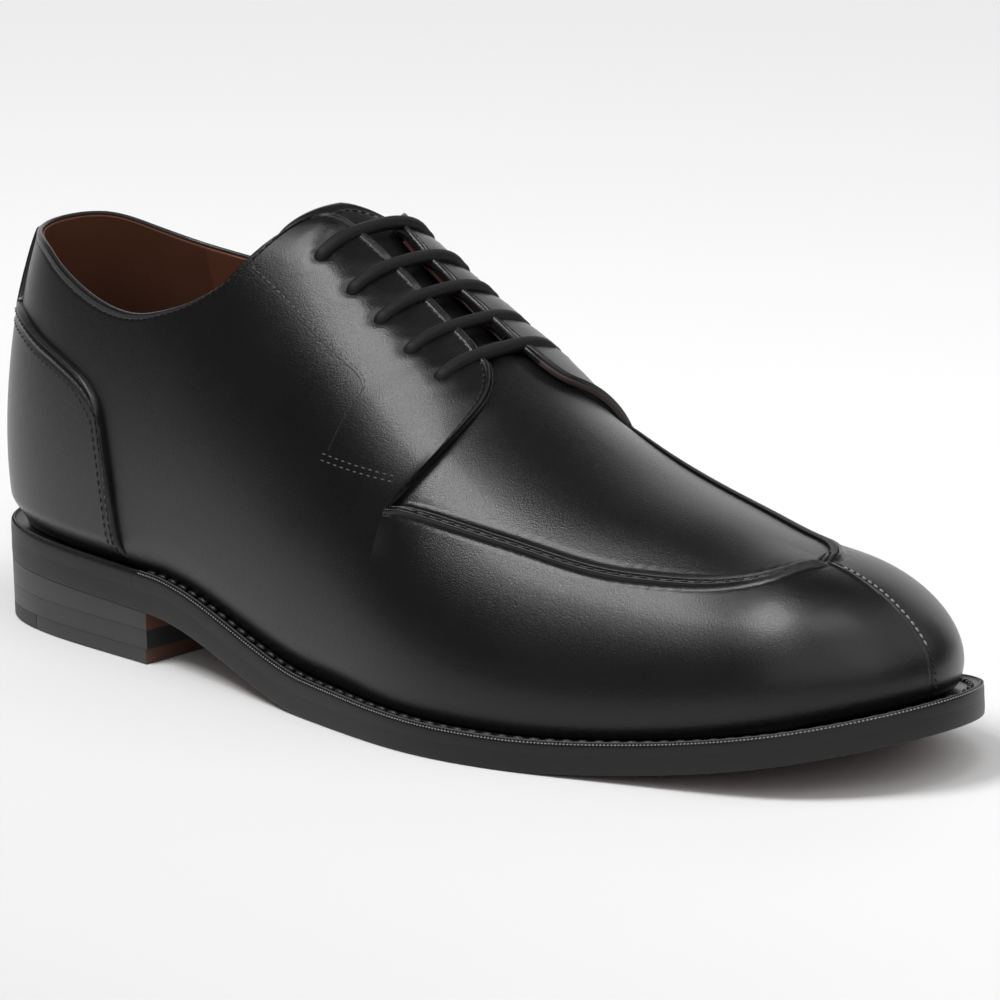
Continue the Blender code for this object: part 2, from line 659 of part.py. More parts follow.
def build_lace_bar(number, material):
    path = lace_path(number)
    curve = bpy.data.curves.new("lace path", "CURVE")
    curve.dimensions = "3D"
    curve.bevel_depth = CORD_RADIUS * MM
    curve.bevel_resolution = 2
    curve.use_fill_caps = True
    line = curve.splines.new("POLY")
    line.points.add(len(path) - 1)
    for point, place in zip(line.points, path):
        point.co = (*(place * MM), 1.0)
    bar = bpy.data.objects.new("lace path", curve)
    bpy.data.collections[SHOE].objects.link(bar)
    bpy.context.view_layer.update()
    mesh = bpy.data.meshes.new_from_object(bar.evaluated_get(bpy.context.evaluated_depsgraph_get()))
    bpy.data.objects.remove(bar)
    work = bmesh.new()
    work.from_mesh(mesh)
    bmesh.ops.remove_doubles(work, verts=work.verts, dist=1e-6)
    bmesh.ops.recalc_face_normals(work, faces=work.faces)
    bmesh.ops.triangulate(work, faces=work.faces)
    work.to_mesh(mesh)
    work.free()
    mesh.materials.clear()
    return place_object("lace_bar_%d" % (number + 1), mesh, material)


def level_at(height):
    """Flat height at every x."""
    return lambda x: np.full_like(np.asarray(x, float), height)


def centre_on_floor():
    """Move everything so the middle of the box's bottom is the origin."""
    shoe = bpy.data.collections[SHOE].objects
    corners = np.concatenate([[v.co[:] for v in thing.data.vertices] for thing in shoe])
    middle = (corners.min(0) + corners.max(0)) / 2.0
    shift = Vector((-middle[0], -middle[1], -corners[:, 2].min()))
    for thing in list(shoe) + list(bpy.data.collections["cutters"].objects):
        for vertex in thing.data.vertices:
            vertex.co += shift


def build_sole(materials):
    """Outsole, welt, heel rand, heel stack and insole."""
    black = materials["edge_leather"]
    lateral_end, medial_end = breast_turn(WELT_END_X)
    build_plate("outsole", 0.0, 0.0, SPRING_END_X, sole_bottom, outsole_top, 48, black)
    build_rim("welt", lateral_end, medial_end, 56, materials["welt_leather"])
    split = GAP / 30.0
    build_rim("heel_rand", medial_end + split - ROUND, lateral_end - split, 28, materials["welt_leather"])
    build_plate("heel_lift_upper", 0.0, 0.0, BREAST_X, level_at(LOWER_LIFT_TOP + GAP), heel_seat, 16, black)
    build_plate("heel_lift_lower", 0.0, 0.0, BREAST_X, level_at(TOP_PIECE + GAP), level_at(LOWER_LIFT_TOP), 16,
                black)
    build_plate("heel_top_piece", 0.0, RUBBER_SPLIT_X + GAP, BREAST_X, level_at(0.0), level_at(TOP_PIECE), 8, black)
    build_plate("heel_rubber_tip", 0.0, 0.0, RUBBER_SPLIT_X, level_at(0.0), level_at(TOP_PIECE), 12,
                materials["heel_rubber"])
    build_insole(materials["lining_leather"])


def main():
    for thing in list(bpy.data.objects):
        bpy.data.objects.remove(thing)
    for name in (SHOE, "cutters"):
        group = bpy.data.collections.new(name)
        bpy.context.scene.collection.children.link(group)
    bpy.data.collections["cutters"].hide_render = True
    materials = {
        "upper_leather": make_material("upper_leather", (0.012, 0.012, 0.013), 0.35),
        "edge_leather": make_material("edge_leather", (0.016, 0.015, 0.015), 0.45),
        "welt_leather": make_material("welt_leather", (0.014, 0.013, 0.013), 0.5),
        "lining_leather": make_material("lining_leather", (0.16, 0.06, 0.03), 0.6),
        "heel_rubber": make_material("heel_rubber", (0.02, 0.02, 0.02), 0.7),
        "lace_cord": make_material("lace_cord", (0.01, 0.01, 0.01), 0.6),
    }
    build_sole(materials)
    upper = build_upper(materials["upper_leather"])
    cut_holes(upper)
    build_tongue(materials["upper_leather"])
    build_counter(materials["upper_leather"])
    for number in range(len(HOLE_STATIONS)):
        build_lace_bar(number, materials["lace_cord"])
    centre_on_floor()


main()
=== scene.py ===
"""Looks of a black moc toe derby shoe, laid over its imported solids.

One formula gives the last in millimetres: a feather line round the sole, a spine on top and a rounded side
between. The upper, counter and tongue are grids of that formula, and the sole's layers follow its plan.
"""
import logging
import math
from dataclasses import dataclass, field
from enum import Enum
from typing import Callable, Optional, Sequence, Union

import bmesh
import bpy
import numpy as np
from mathutils import Matrix, Vector
from mathutils.bvhtree import BVHTree


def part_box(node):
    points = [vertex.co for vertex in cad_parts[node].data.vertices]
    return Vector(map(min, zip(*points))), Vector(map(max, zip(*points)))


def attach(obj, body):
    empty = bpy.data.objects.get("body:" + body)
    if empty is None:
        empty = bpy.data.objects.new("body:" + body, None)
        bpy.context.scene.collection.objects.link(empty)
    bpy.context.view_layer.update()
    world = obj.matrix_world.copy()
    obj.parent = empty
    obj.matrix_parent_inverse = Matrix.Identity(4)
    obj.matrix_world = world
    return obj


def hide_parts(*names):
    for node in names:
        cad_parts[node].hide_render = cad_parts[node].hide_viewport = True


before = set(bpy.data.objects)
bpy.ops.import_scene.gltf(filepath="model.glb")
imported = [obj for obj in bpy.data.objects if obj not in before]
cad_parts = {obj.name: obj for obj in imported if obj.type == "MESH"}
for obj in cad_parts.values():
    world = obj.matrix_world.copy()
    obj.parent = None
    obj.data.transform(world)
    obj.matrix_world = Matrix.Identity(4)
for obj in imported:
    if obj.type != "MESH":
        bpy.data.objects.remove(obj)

Array = np.ndarray
Curve = Callable[[Array], Array]
Line = tuple[Array, Array]
Pair = tuple[float, float]
Rows = tuple[Pair, ...]
Triple = tuple[float, float, float]
Colour = tuple[float, float, float, float]
Material = bpy.types.Material

MM = 0.001
WALL = 1.6
BODY = "root"
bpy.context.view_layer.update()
log = logging.getLogger("moc_toe_derby")


class Side(Enum):
    """Outer and inner side of the right shoe."""

    LATERAL = "lateral"
    MEDIAL = "medial"


class Part(Enum):
    """Stretches of the line along the top of a side panel, from the heel's back to the toe."""

    COLLAR = 0
    SLOT = 1
    THROAT = 2
    FLAP_FRONT = 3
    APRON = 4


class Column(Enum):
    """Columns of the table of stations; a pair has the lateral and the medial column."""

    FEATHER_X = (0, 0)
    HALF_WIDTH = (1, 2)
    SPINE_X = (3, 3)
    EDGE_REACH = (4, 5)
    SWELL = (6, 7)
    SWELL_HEIGHT = (8, 8)
    FULLNESS = (9, 9)


class Slot(Enum):
    """The record's material slots, handed to dress with each new piece, which leaves them unused."""

    UPPER = "upper_leather"
    EDGE = "edge_leather"
    WELT = "welt_leather"
    RUBBER = "heel_rubber"
    CORD = "lace_cord"


# Columns: feather x, lateral and medial half width, spine x, sole edge on both sides, swell on both sides,
# height of the swell and fullness of the side. Rows go from the heel's back to the tip of the toe.
STATIONS = (
    (7.5, 0.0, 0.0, 40.0, 4.8, 4.8, 2.6, 2.6, 14.0, 1.75),
    (14.2, 18.1, 18.6, 42.0, 4.2, 4.2, 2.6, 2.6, 14.0, 1.80),
    (38.0, 28.3, 28.8, 45.0, 3.0, 3.0, 2.8, 2.8, 14.0, 2.10),
    (75.0, 32.5, 29.0, 75.0, 3.2, 2.5, 4.0, 6.5, 14.0, 2.40),
    (115.0, 38.0, 26.0, 115.0, 4.0, 2.5, 4.0, 11.5, 14.0, 2.45),
    (150.0, 43.8, 30.5, 150.0, 5.0, 4.0, 3.5, 11.5, 12.0, 2.50),
    (180.0, 47.0, 39.0, 180.0, 6.0, 6.0, 3.0, 4.8, 9.0, 2.12),
    (207.0, 43.8, 43.5, 206.0, 6.5, 6.5, 2.5, 3.0, 7.0, 1.98),
    (232.0, 37.0, 41.5, 228.0, 6.5, 6.5, 2.2, 2.2, 6.0, 1.98),
    (256.0, 29.7, 34.9, 245.0, 7.3, 7.4, 2.8, 3.2, 6.6, 2.12),
    (277.2, 19.0, 25.0, 254.5, 8.0, 8.1, 4.4, 5.2, 7.4, 2.70),
    (289.2, -3.5, 3.5, 258.5, 8.3, 8.3, 5.2, 5.2, 7.4, 2.80),
)
TOE = len(STATIONS) - 1
ROUND = 2 * TOE
SPINE_HEIGHT = {0: 130.0, 40: 128.0, 80: 121.0, 100: 114.0, 120: 104.4, 140: 91.6, 160: 79.2, 180: 67.9,
                205: 57.8, 230: 51.7, 250: 48.0, 262: 46.2, 292: 37.0}
SPINE_SIDE = {30: 0.0, 75: 0.8, 115: 2.2, 165: 2.5, 180: 2.3, 207: 2.2, 232: 1.9, 262: 0.4}

# Pattern lines as rows of station and rise in degrees.
PATTERN: dict[Part, dict[Side, Rows]] = {
    Part.COLLAR: {
        Side.LATERAL: ((0.0, 43.0), (0.8, 43.1), (1.5, 42.7), (1.90, 40.8), (2.33, 38.2), (2.66, 37.2),
                       (2.94, 38.2), (3.20, 41.6), (3.43, 46.8), (3.62, 53.7), (3.72, 59.3), (3.80, 67.2),
                       (3.86, 74.8), (3.92, 80.4), (4.00, 83.6), (4.10, 85.6)),
        Side.MEDIAL: ((0.0, 43.0), (0.7, 42.3), (1.25, 39.9), (1.66, 38.0), (1.96, 37.0), (2.30, 36.4),
                      (2.62, 36.6), (2.94, 38.2), (3.20, 41.6), (3.44, 46.8), (3.66, 53.7), (3.79, 59.3),
                      (3.90, 67.2), (3.98, 74.6), (4.05, 79.8), (4.12, 82.8), (4.22, 84.6)),
    },
    Part.SLOT: {
        Side.LATERAL: ((4.10, 85.6), (4.60, 86.8), (5.18, 86.0)),
        Side.MEDIAL: ((4.22, 84.6), (4.36, 85.6), (4.60, 86.1), (5.18, 85.8)),
    },
    Part.THROAT: {
        Side.LATERAL: ((5.18, 86.0), (5.39, 84.6)),
        Side.MEDIAL: ((5.18, 85.8), (5.46, 84.4)),
    },
    Part.FLAP_FRONT: {
        Side.LATERAL: ((5.39, 84.6), (5.50, 82.0), (5.61, 77.1), (5.67, 70.0), (5.67, 60.0), (5.60, 50.0),
                       (5.48, 40.5)),
        Side.MEDIAL: ((5.46, 84.4), (5.60, 82.5), (5.70, 78.5), (5.74, 71.0), (5.75, 63.0), (5.74, 56.0),
                      (5.72, 51.0)),
    },
    Part.APRON: {
        Side.LATERAL: ((5.48, 40.5), (5.90, 44.3), (6.50, 47.4), (7.00, 48.6), (7.52, 49.3), (8.00, 51.3),
                       (8.50, 54.5), (8.90, 58.5), (9.30, 64.4), (9.71, 73.2), (10.10, 80.8), (10.60, 84.8),
                       (11.0, 86.3)),
        Side.MEDIAL: ((5.72, 51.0), (6.10, 59.6), (6.60, 64.8), (7.00, 66.6), (7.50, 67.7), (8.00, 68.4),
                      (8.50, 69.8), (9.00, 72.6), (9.40, 76.2), (9.80, 80.2), (10.20, 83.4), (10.60, 85.4),
                      (11.0, 86.3)),
    },
}
# Station at the sole below the end of each stretch.
FOOT_STATIONS = {Part.COLLAR: 3.35, Part.SLOT: 4.20, Part.THROAT: 4.42, Part.FLAP_FRONT: 5.25,
                 Part.APRON: 11.0}

# Rows over the flap's piped edge, from the panel to the plug: millimetres from the edge, share of the flap's
# lift and height added. The first of them are shared with the folded edge of collar and slot.
FLAP_ROWS = np.array((
    (8.0, 1.0, 0.0), (6.5, 1.0, 0.0), (5.2, 1.0, 0.0), (4.2, 1.0, 0.0), (3.5, 1.0, 0.0), (3.05, 1.0, 0.0),
    (2.8, 1.0, 0.0), (2.68, 1.0, -0.08), (2.58, 1.0, -0.2), (2.48, 1.0, -0.22), (2.38, 1.0, -0.1),
    (2.25, 1.0, 0.10), (2.05, 1.0, 0.28), (1.8, 1.0, 0.40), (1.5, 1.0, 0.44), (1.25, 1.0, 0.38),
    (1.02, 1.0, 0.22), (0.88, 1.0, 0.0), (0.8, 1.0, -0.3), (0.76, 1.0, -0.62), (0.66, 1.0, -0.52),
    (0.48, 1.0, -0.36), (0.28, 1.0, -0.36), (0.12, 1.0, -0.5), (0.03, 1.0, -0.74), (0.0, 1.0, -1.0),
    (0.1, 0.36, 0.0), (0.4, 0.34, 0.0), (0.9, 0.30, 0.0), (1.5, 0.20, 0.0), (1.6, 0.0, 0.0),
    (0.8, 0.0, 0.0), (-0.5, 0.0, 0.0), (-1.6, 0.0, 0.0), (-3.0, 0.0, 0.0), (-5.2, 0.0, 0.0)))
SHARED_ROWS = 17
# Rows of the flap's cut edge under its piping.
CUT_ROWS = (20, 29)
# Rows over the apron's seam: millimetres from its middle, negative on the plug.
SEAM_ROWS = np.array((
    8.0, 6.5, 5.2, 4.2, 3.4, 2.9, 2.5, 2.2, 1.95, 1.7, 1.5, 1.3, 1.15, 1.0, 0.85, 0.7, 0.55, 0.4, 0.25, 0.1,
    -0.05, -0.2, -0.3, -0.42, -0.55, -0.7, -0.85, -1.0, -1.2, -1.4, -1.7, -2.1, -2.6, -3.2, -4.2, -5.2))
# Ridges and grooves of the seam: height, place and half width in millimetres.
SEAM_BELLS = ((0.62, 0.75, 0.5), (0.62, -0.55, 0.5), (0.28, 0.0, 2.4), (-0.12, 2.3, 0.5), (-0.12, -2.3, 0.5))


def by_side(lateral: object, medial: object) -> dict:
    """A dataclass field with a value for each side of the shoe."""
    return field(default_factory=lambda: {Side.LATERAL: lateral, Side.MEDIAL: medial})


def smooth(t: Array) -> Array:
    """Ease from 0 to 1 with level ends."""
    t = np.clip(t, 0.0, 1.0)
    return t * t * (3.0 - 2.0 * t)


def bell(t: Array) -> Array:
    """Hump of height 1 and half width 1."""
    return np.exp(-np.square(t))


def unit(vectors: Array) -> Array:
    """Vectors of the same directions and length 1."""
    return vectors / np.maximum(np.linalg.norm(vectors, axis=-1, keepdims=True), 1e-12)


def closed_spline(values: Sequence[float]) -> Curve:
    """Smooth closed curve through values at 0, 1, 2 and so on.

    Args:
        values: one value for each whole place round the loop.

    Returns:
        The cubic curve as a function of the place.
    """
    v = np.asarray(values, float)
    count = len(v)
    eye = np.eye(count)
    system = 4.0 * eye + np.roll(eye, 1, 0) + np.roll(eye, -1, 0)
    bend = np.linalg.solve(system, 6.0 * (np.roll(v, -1) - 2.0 * v + np.roll(v, 1)))

    def curve(place: Array) -> Array:
        """Value at a place round the loop."""
        whole = np.floor(np.asarray(place, float))
        t = np.asarray(place, float) - whole
        i = whole.astype(int) % count
        j = (i + 1) % count
        bow = bend[i] * ((1 - t) ** 3 - (1 - t)) + bend[j] * (t ** 3 - t)
        return bow / 6.0 + v[i] * (1 - t) + v[j] * t
    return curve


def open_spline(places: Sequence[float], values: Sequence[float]) -> Curve:
    """Natural cubic curve through values at the given places, held level outside them.

    Args:
        places: rising places.
        values: the value at each place.

    Returns:
        The curve as a function of the place.
    """
    x = np.asarray(places, float)
    v = np.asarray(values, float)
    span = np.diff(x)
    count = len(x)
    system = np.eye(count)
    load = np.zeros(count)
    for i in range(1, count - 1):
        system[i, i - 1:i + 2] = span[i - 1], 2.0 * (span[i - 1] + span[i]), span[i]
        load[i] = 6.0 * ((v[i + 1] - v[i]) / span[i] - (v[i] - v[i - 1]) / span[i - 1])
    bend = np.linalg.solve(system, load)

    def curve(place: Array) -> Array:
        """Value at a place."""
        q = np.clip(np.asarray(place, float), x[0], x[-1])
        i = np.clip(np.searchsorted(x, q) - 1, 0, count - 2)
        before = x[i + 1] - q
        after = q - x[i]
        bow = (bend[i] * before ** 3 + bend[i + 1] * after ** 3) / (6.0 * span[i])
        rise = (v[i] / span[i] - bend[i] * span[i] / 6.0) * before
        return bow + rise + (v[i + 1] / span[i] - bend[i + 1] * span[i] / 6.0) * after
    return curve


def table_curve(table: dict[float, float]) -> Curve:
    """Curve through a table of place: value."""
    return open_spline(list(table.keys()), list(table.values()))


def arc_lengths(points: Array) -> Array:
    """Length along a line of points, from 0 at its first."""
    steps = np.linalg.norm(np.diff(points, axis=0), axis=-1)
    return np.concatenate([[0.0], np.cumsum(steps)])


def along_line(points: Array, places: Array) -> Array:
    """Points at given lengths along a line of points, joined straight."""
    run = arc_lengths(points)
    return np.stack([np.interp(places, run, points[:, k]) for k in range(3)], -1)


@dataclass
class Last:
    """The last and the sole's heights, in millimetres: x from the heel's back, y to the inner side, z up."""

    breast_x: float = 74.0
    land_x: float = 141.0
    tread_end_x: float = 205.0
    spring_end_x: float = 302.0
    spring: float = 14.0
    spring_power: float = 1.8
    heel_back_height: float = 14.8
    heel_breast_height: float = 12.6
    outsole_front: float = 4.3
    outsole_heel: float = 5.2
    edge_front: float = 7.6
    edge_heel: float = 9.8
    edge_fade_x: float = 115.0
    edge_fade_length: float = 80.0
    low_blend: float = math.radians(6.0)
    margin: float = 7.0
    margin_depth: float = 0.85
    margin_end: float = 4.6
    margin_fade: float = 1.2
    shift: Array = field(init=False)

    def __post_init__(self) -> None:
        """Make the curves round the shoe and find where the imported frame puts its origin."""
        self.feather_x = self.round_curve(Column.FEATHER_X)
        self.feather_y = self.round_curve(Column.HALF_WIDTH, -1.0)
        self.spine_x = self.round_curve(Column.SPINE_X)
        self.edge_reach = self.round_curve(Column.EDGE_REACH)
        self.swell = self.round_curve(Column.SWELL)
        self.swell_height = self.round_curve(Column.SWELL_HEIGHT)
        self.fullness = self.round_curve(Column.FULLNESS)
        self.spine_height = table_curve(SPINE_HEIGHT)
        self.spine_side = table_curve(SPINE_SIDE)
        turn = np.linspace(0.0, ROUND, 6000)
        edge = self.outline(turn, self.edge_reach(turn))
        low, high = (np.array(corner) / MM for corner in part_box("outsole"))
        own_middle = (edge.min(0) + edge.max(0)) / 2.0
        self.shift = (low + high) / 2.0 - own_middle
        self.shift[2] = 0.0

    @staticmethod
    def round_curve(column: Column, lateral_sign: float = 1.0) -> Curve:
        """Closed curve round the shoe, out along the stations' lateral column and back along the medial."""
        lateral, medial = column.value
        out = [lateral_sign * row[lateral] for row in STATIONS]
        back = [row[medial] for row in STATIONS[-2:0:-1]]
        return closed_spline(out + back)

    def place(self, points: Array) -> Array:
        """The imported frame's metres for points on the last."""
        return (points + self.shift) * MM

    def sole_bottom(self, x: Array) -> Array:
        """Underside of the outsole: pitched seat, eased arch, flat tread and a power curve of toe spring."""
        drop = self.heel_breast_height - self.heel_back_height
        seat = self.heel_back_height + drop * x / self.breast_x
        arch = self.heel_breast_height * (1.0 - smooth((x - self.breast_x) / (self.land_x - self.breast_x)))
        reach = (x - self.tread_end_x) / (self.spring_end_x - self.tread_end_x)
        rise = self.spring * np.clip(reach, 0.0, None) ** self.spring_power
        return np.where(x < self.breast_x, seat, arch) + rise

    def edge_share(self, x: Array) -> Array:
        """0 at the heel, 1 in the forefoot."""
        return smooth((x - self.edge_fade_x) / self.edge_fade_length)

    def outsole_top(self, x: Array) -> Array:
        """Top of the outsole, thicker at the heel."""
        thinner = (self.outsole_front - self.outsole_heel) * self.edge_share(x)
        return self.sole_bottom(x) + self.outsole_heel + thinner

    def feather_z(self, x: Array) -> Array:
        """Height of the upper's lower edge."""
        thinner = (self.edge_front - self.edge_heel) * self.edge_share(x)
        return self.sole_bottom(x) + self.edge_heel + thinner

    def outward(self, turn: Array) -> Array:
        """Level direction out of the feather line."""
        step = 1e-3
        dx = self.feather_x(turn + step) - self.feather_x(turn - step)
        dy = self.feather_y(turn + step) - self.feather_y(turn - step)
        return unit(np.stack([dy, -dx, np.zeros_like(dx)], -1))

    def outline(self, turn: Array, reach: Array) -> Array:
        """Plan outline a reach outside the feather line."""
        flat = np.stack([self.feather_x(turn), self.feather_y(turn), np.zeros_like(turn)], -1)
        return flat + np.asarray(reach)[..., None] * self.outward(turn)

    def surface(self, turn: Array, angle: Array) -> Array:
        """Point of the last at a turn round the shoe and an angle up to the spine.

        In plan the point goes from the feather line to the spine by a power of the cosine, in height by the
        sine, and the wall swells out above the sole by a fading exponential.

        Args:
            turn: place round the shoe in stations.
            angle: radians from the feather line to the spine.

        Returns:
            Points of the same shape as turn and angle.
        """
        foot_x = self.feather_x(turn)
        foot_y = self.feather_y(turn)
        top_x = self.spine_x(turn)
        top_y = self.spine_side(top_x)
        reach = np.clip(np.cos(angle), 0.0, None) ** (2.0 / self.fullness(turn))
        x = top_x + (foot_x - top_x) * reach
        y = top_y + (foot_y - top_y) * reach
        foot_z = self.feather_z(foot_x)
        z = foot_z + (self.spine_height(x) - foot_z) * np.sin(angle)
        out = self.swell(turn) * (1.0 - np.exp((foot_z - z) / self.swell_height(turn))) * reach
        return np.stack([x, y, z], -1) + out[..., None] * self.outward(turn)

    def normal(self, turn: Array, angle: Array) -> Array:
        """Direction out of the last: level at the sole, square to the spine on top, a cross product between.

        Args:
            turn: place round the shoe in stations.
            angle: radians from the feather line to the spine.

        Returns:
            Unit vectors.
        """
        step = 1e-3
        inner = np.clip(angle, 2e-3, math.pi / 2 - 2e-3)
        along = self.surface(turn + step, inner) - self.surface(turn - step, inner)
        up = self.surface(turn, inner + step) - self.surface(turn, inner - step)
        square = unit(np.cross(along, up))
        spine = self.spine_x(turn)
        slope = self.spine_height(spine + 0.5) - self.spine_height(spine - 0.5)
        upright = unit(np.stack([-slope, np.zeros_like(slope), np.ones_like(slope)], -1))
        low = smooth(angle / self.low_blend)[..., None]
        high = smooth((angle - math.pi / 2 + self.low_blend) / self.low_blend)[..., None]
        return unit((self.outward(turn) * (1.0 - low) + square * low) * (1.0 - high) + upright * high)

    def over(self, side: Side, station: Array, rise: Array, offset: Array) -> Line:
        """Points an offset outside the last on one side, and the directions out of it there.

        Round the heel and the waist the leather is drawn in to the sole: the offset shrinks by an ease of the
        height.

        Args:
            side: side of the shoe.
            station: stations from the heel's back.
            rise: degrees from the feather line.
            offset: distance outside the last.

        Returns:
            Points and unit vectors.
        """
        station, rise, offset = np.broadcast_arrays(np.asarray(station, float), rise, offset)
        turn = station if side is Side.LATERAL else ROUND - station
        angle = np.radians(rise)
        out = self.normal(turn, angle)
        points = self.surface(turn, angle)
        height = points[..., 2] - self.feather_z(self.feather_x(turn))
        fade = 1.0 - smooth((station - self.margin_end) / self.margin_fade)
        drawn_in = (1.0 - smooth(height / self.margin)) * fade
        points = points + (offset * (1.0 - self.margin_depth * drawn_in))[..., None] * out
        seat = self.feather_z(points[..., 0]) - self.feather_z(self.feather_x(turn))
        points[..., 2] += seat * (1.0 - smooth(angle / self.low_blend))
        return points, out

    def around(self, station: Array, rise: Array, offset: Array) -> Line:
        """As over, where a negative station is on the medial side."""
        lateral, lateral_out = self.over(Side.LATERAL, np.abs(station), rise, offset)
        medial, medial_out = self.over(Side.MEDIAL, np.abs(station), rise, offset)
        inner = (station + 0.0 * lateral[..., 0] < 0.0)[..., None]
        return np.where(inner, medial, lateral), np.where(inner, medial_out, lateral_out)

    def walk(self, side: Side, rows: Rows, shares: Array) -> tuple[Array, Array, float]:
        """Stations and rises at shares of the length of a pattern line.

        Args:
            side: side of the shoe.
            rows: the line's stations and rises.
            shares: places from 0 to 1 by length.

        Returns:
            Stations, rises and the line's length.
        """
        index = np.arange(len(rows))
        fine = np.linspace(0.0, len(rows) - 1.0, 40 * len(rows))
        station = open_spline(index, [row[0] for row in rows])(fine)
        rise = open_spline(index, [row[1] for row in rows])(fine)
        run = arc_lengths(self.over(side, station, rise, WALL)[0])
        places = shares * run[-1]
        return np.interp(places, run, station), np.interp(places, run, rise), float(run[-1])


class Shell:
    """Grids of points that share edges, welded into one closed mesh."""

    def __init__(self) -> None:
        """Start empty."""
        self.points: list[Array] = []
        self.triangles: list[Array] = []
        self.finishes: list[Array] = []
        self.maps: list[Array] = []
        self.count = 0

    def add(self, points: Array) -> Array:
        """Keep a grid of points and return their numbers in the same shape."""
        size = points[..., 0].size
        numbers = self.count + np.arange(size).reshape(points.shape[:-1])
        self.points.append(points.reshape(-1, 3))
        self.count += size
        return numbers

    def sheet(self, numbers: Array, finish: Union[int, Array] = 0, map_at: Optional[Array] = None) -> None:
        """Fill a grid of points, or a stack of grids, with faces, two triangles to each cell.

        Args:
            numbers: point numbers in a grid.
            finish: material index, or one for each cell.
            map_at: map coordinates of each grid point.
        """
        cell = (np.s_[..., :-1, :-1], np.s_[..., 1:, :-1], np.s_[..., 1:, 1:], np.s_[..., :-1, 1:])
        a, b, c, d = (numbers[k] for k in cell)
        halves = np.stack([np.stack([a, b, c], -1), np.stack([a, c, d], -1)], -2)
        self.triangles.append(halves.reshape(-1, 3))
        kinds = np.broadcast_to(np.asarray(finish)[..., None], a.shape + (2,))
        self.finishes.append(kinds.reshape(-1))
        if map_at is None:
            map_at = np.zeros(numbers.shape + (2,))
        a, b, c, d = (map_at[k + np.s_[:,]] for k in cell)
        corners = np.stack([np.stack([a, b, c], -2), np.stack([a, c, d], -2)], -3)
        self.maps.append(corners.reshape(-1, 2))

    def band(self, first: Array, second: Array, finish: int = 0) -> None:
        """Fill the band between two lines of points."""
        self.sheet(np.stack([first, second], 0), finish)

    def lid(self, loop: Array, finish: int = 0) -> None:
        """Close a loop of points with a fan from its middle."""
        points = np.concatenate(self.points)[loop]
        middle = self.add(points.mean(0)[None, :])
        self.band(np.append(loop, loop[0]), np.full(len(loop) + 1, middle[0]), finish)

    def build(self, name: str, last: Last, sharp: float = 40.0) -> bpy.types.Object:
        """Weld the points, turn the faces outwards and make the piece.

        Args:
            name: the piece's name.
            last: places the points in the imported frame.
            sharp: degrees past which an edge is shaded sharp.

        Returns:
            The new object at the origin.
        """
        points = last.place(np.concatenate(self.points))
        triangles = np.concatenate(self.triangles)
        whole = np.all(triangles != np.roll(triangles, 1, 1), 1)
        triangles = triangles[whole]
        finishes = np.concatenate(self.finishes)[whole]
        maps = np.concatenate(self.maps).reshape(-1, 3, 2)[whole]
        mesh = bpy.data.meshes.new(name)
        mesh.vertices.add(len(points))
        mesh.vertices.foreach_set("co", points.astype(np.float32).ravel())
        mesh.loops.add(triangles.size)
        mesh.loops.foreach_set("vertex_index", triangles.astype(np.int32).ravel())
        mesh.polygons.add(len(triangles))
        mesh.polygons.foreach_set("loop_start", np.arange(0, triangles.size, 3, dtype=np.int32))
        mesh.polygons.foreach_set("material_index", finishes.astype(np.int32))
        chart = mesh.uv_layers.new(name="UVMap")
        chart.uv.foreach_set("vector", maps.astype(np.float32).ravel())
        mesh.update(calc_edges=True)
        work = bmesh.new()
        work.from_mesh(mesh)
        bmesh.ops.remove_doubles(work, verts=work.verts, dist=2e-6)
        bmesh.ops.dissolve_degenerate(work, edges=work.edges, dist=1e-7)
        bmesh.ops.recalc_face_normals(work, faces=work.faces)
        work.to_mesh(mesh)
        work.free()
        mesh.shade_smooth()
        mesh.set_sharp_from_angle(angle=math.radians(sharp))
        piece = bpy.data.objects.new(name, mesh)
        bpy.context.scene.collection.objects.link(piece)
        return piece


Value = Union["Socket", float, tuple]


class Socket:
    """A shader value that takes part in plain arithmetic."""

    def __init__(self, paint: "Paint", link: bpy.types.NodeSocket) -> None:
        """Wrap a node's output."""
        self.paint = paint
        self.link = link

    def __add__(self, other: Value) -> "Socket":
        """Sum."""
        return self.paint.sum("ADD", self, other)

    __radd__ = __add__

    def __mul__(self, other: Value) -> "Socket":
        """Product."""
        return self.paint.sum("MULTIPLY", self, other)

    __rmul__ = __mul__

    def __sub__(self, other: Value) -> "Socket":
        """Difference."""
        return self.paint.sum("SUBTRACT", self, other)

    def __rsub__(self, other: Value) -> "Socket":
        """Difference the other way round."""
        return self.paint.sum("SUBTRACT", other, self)


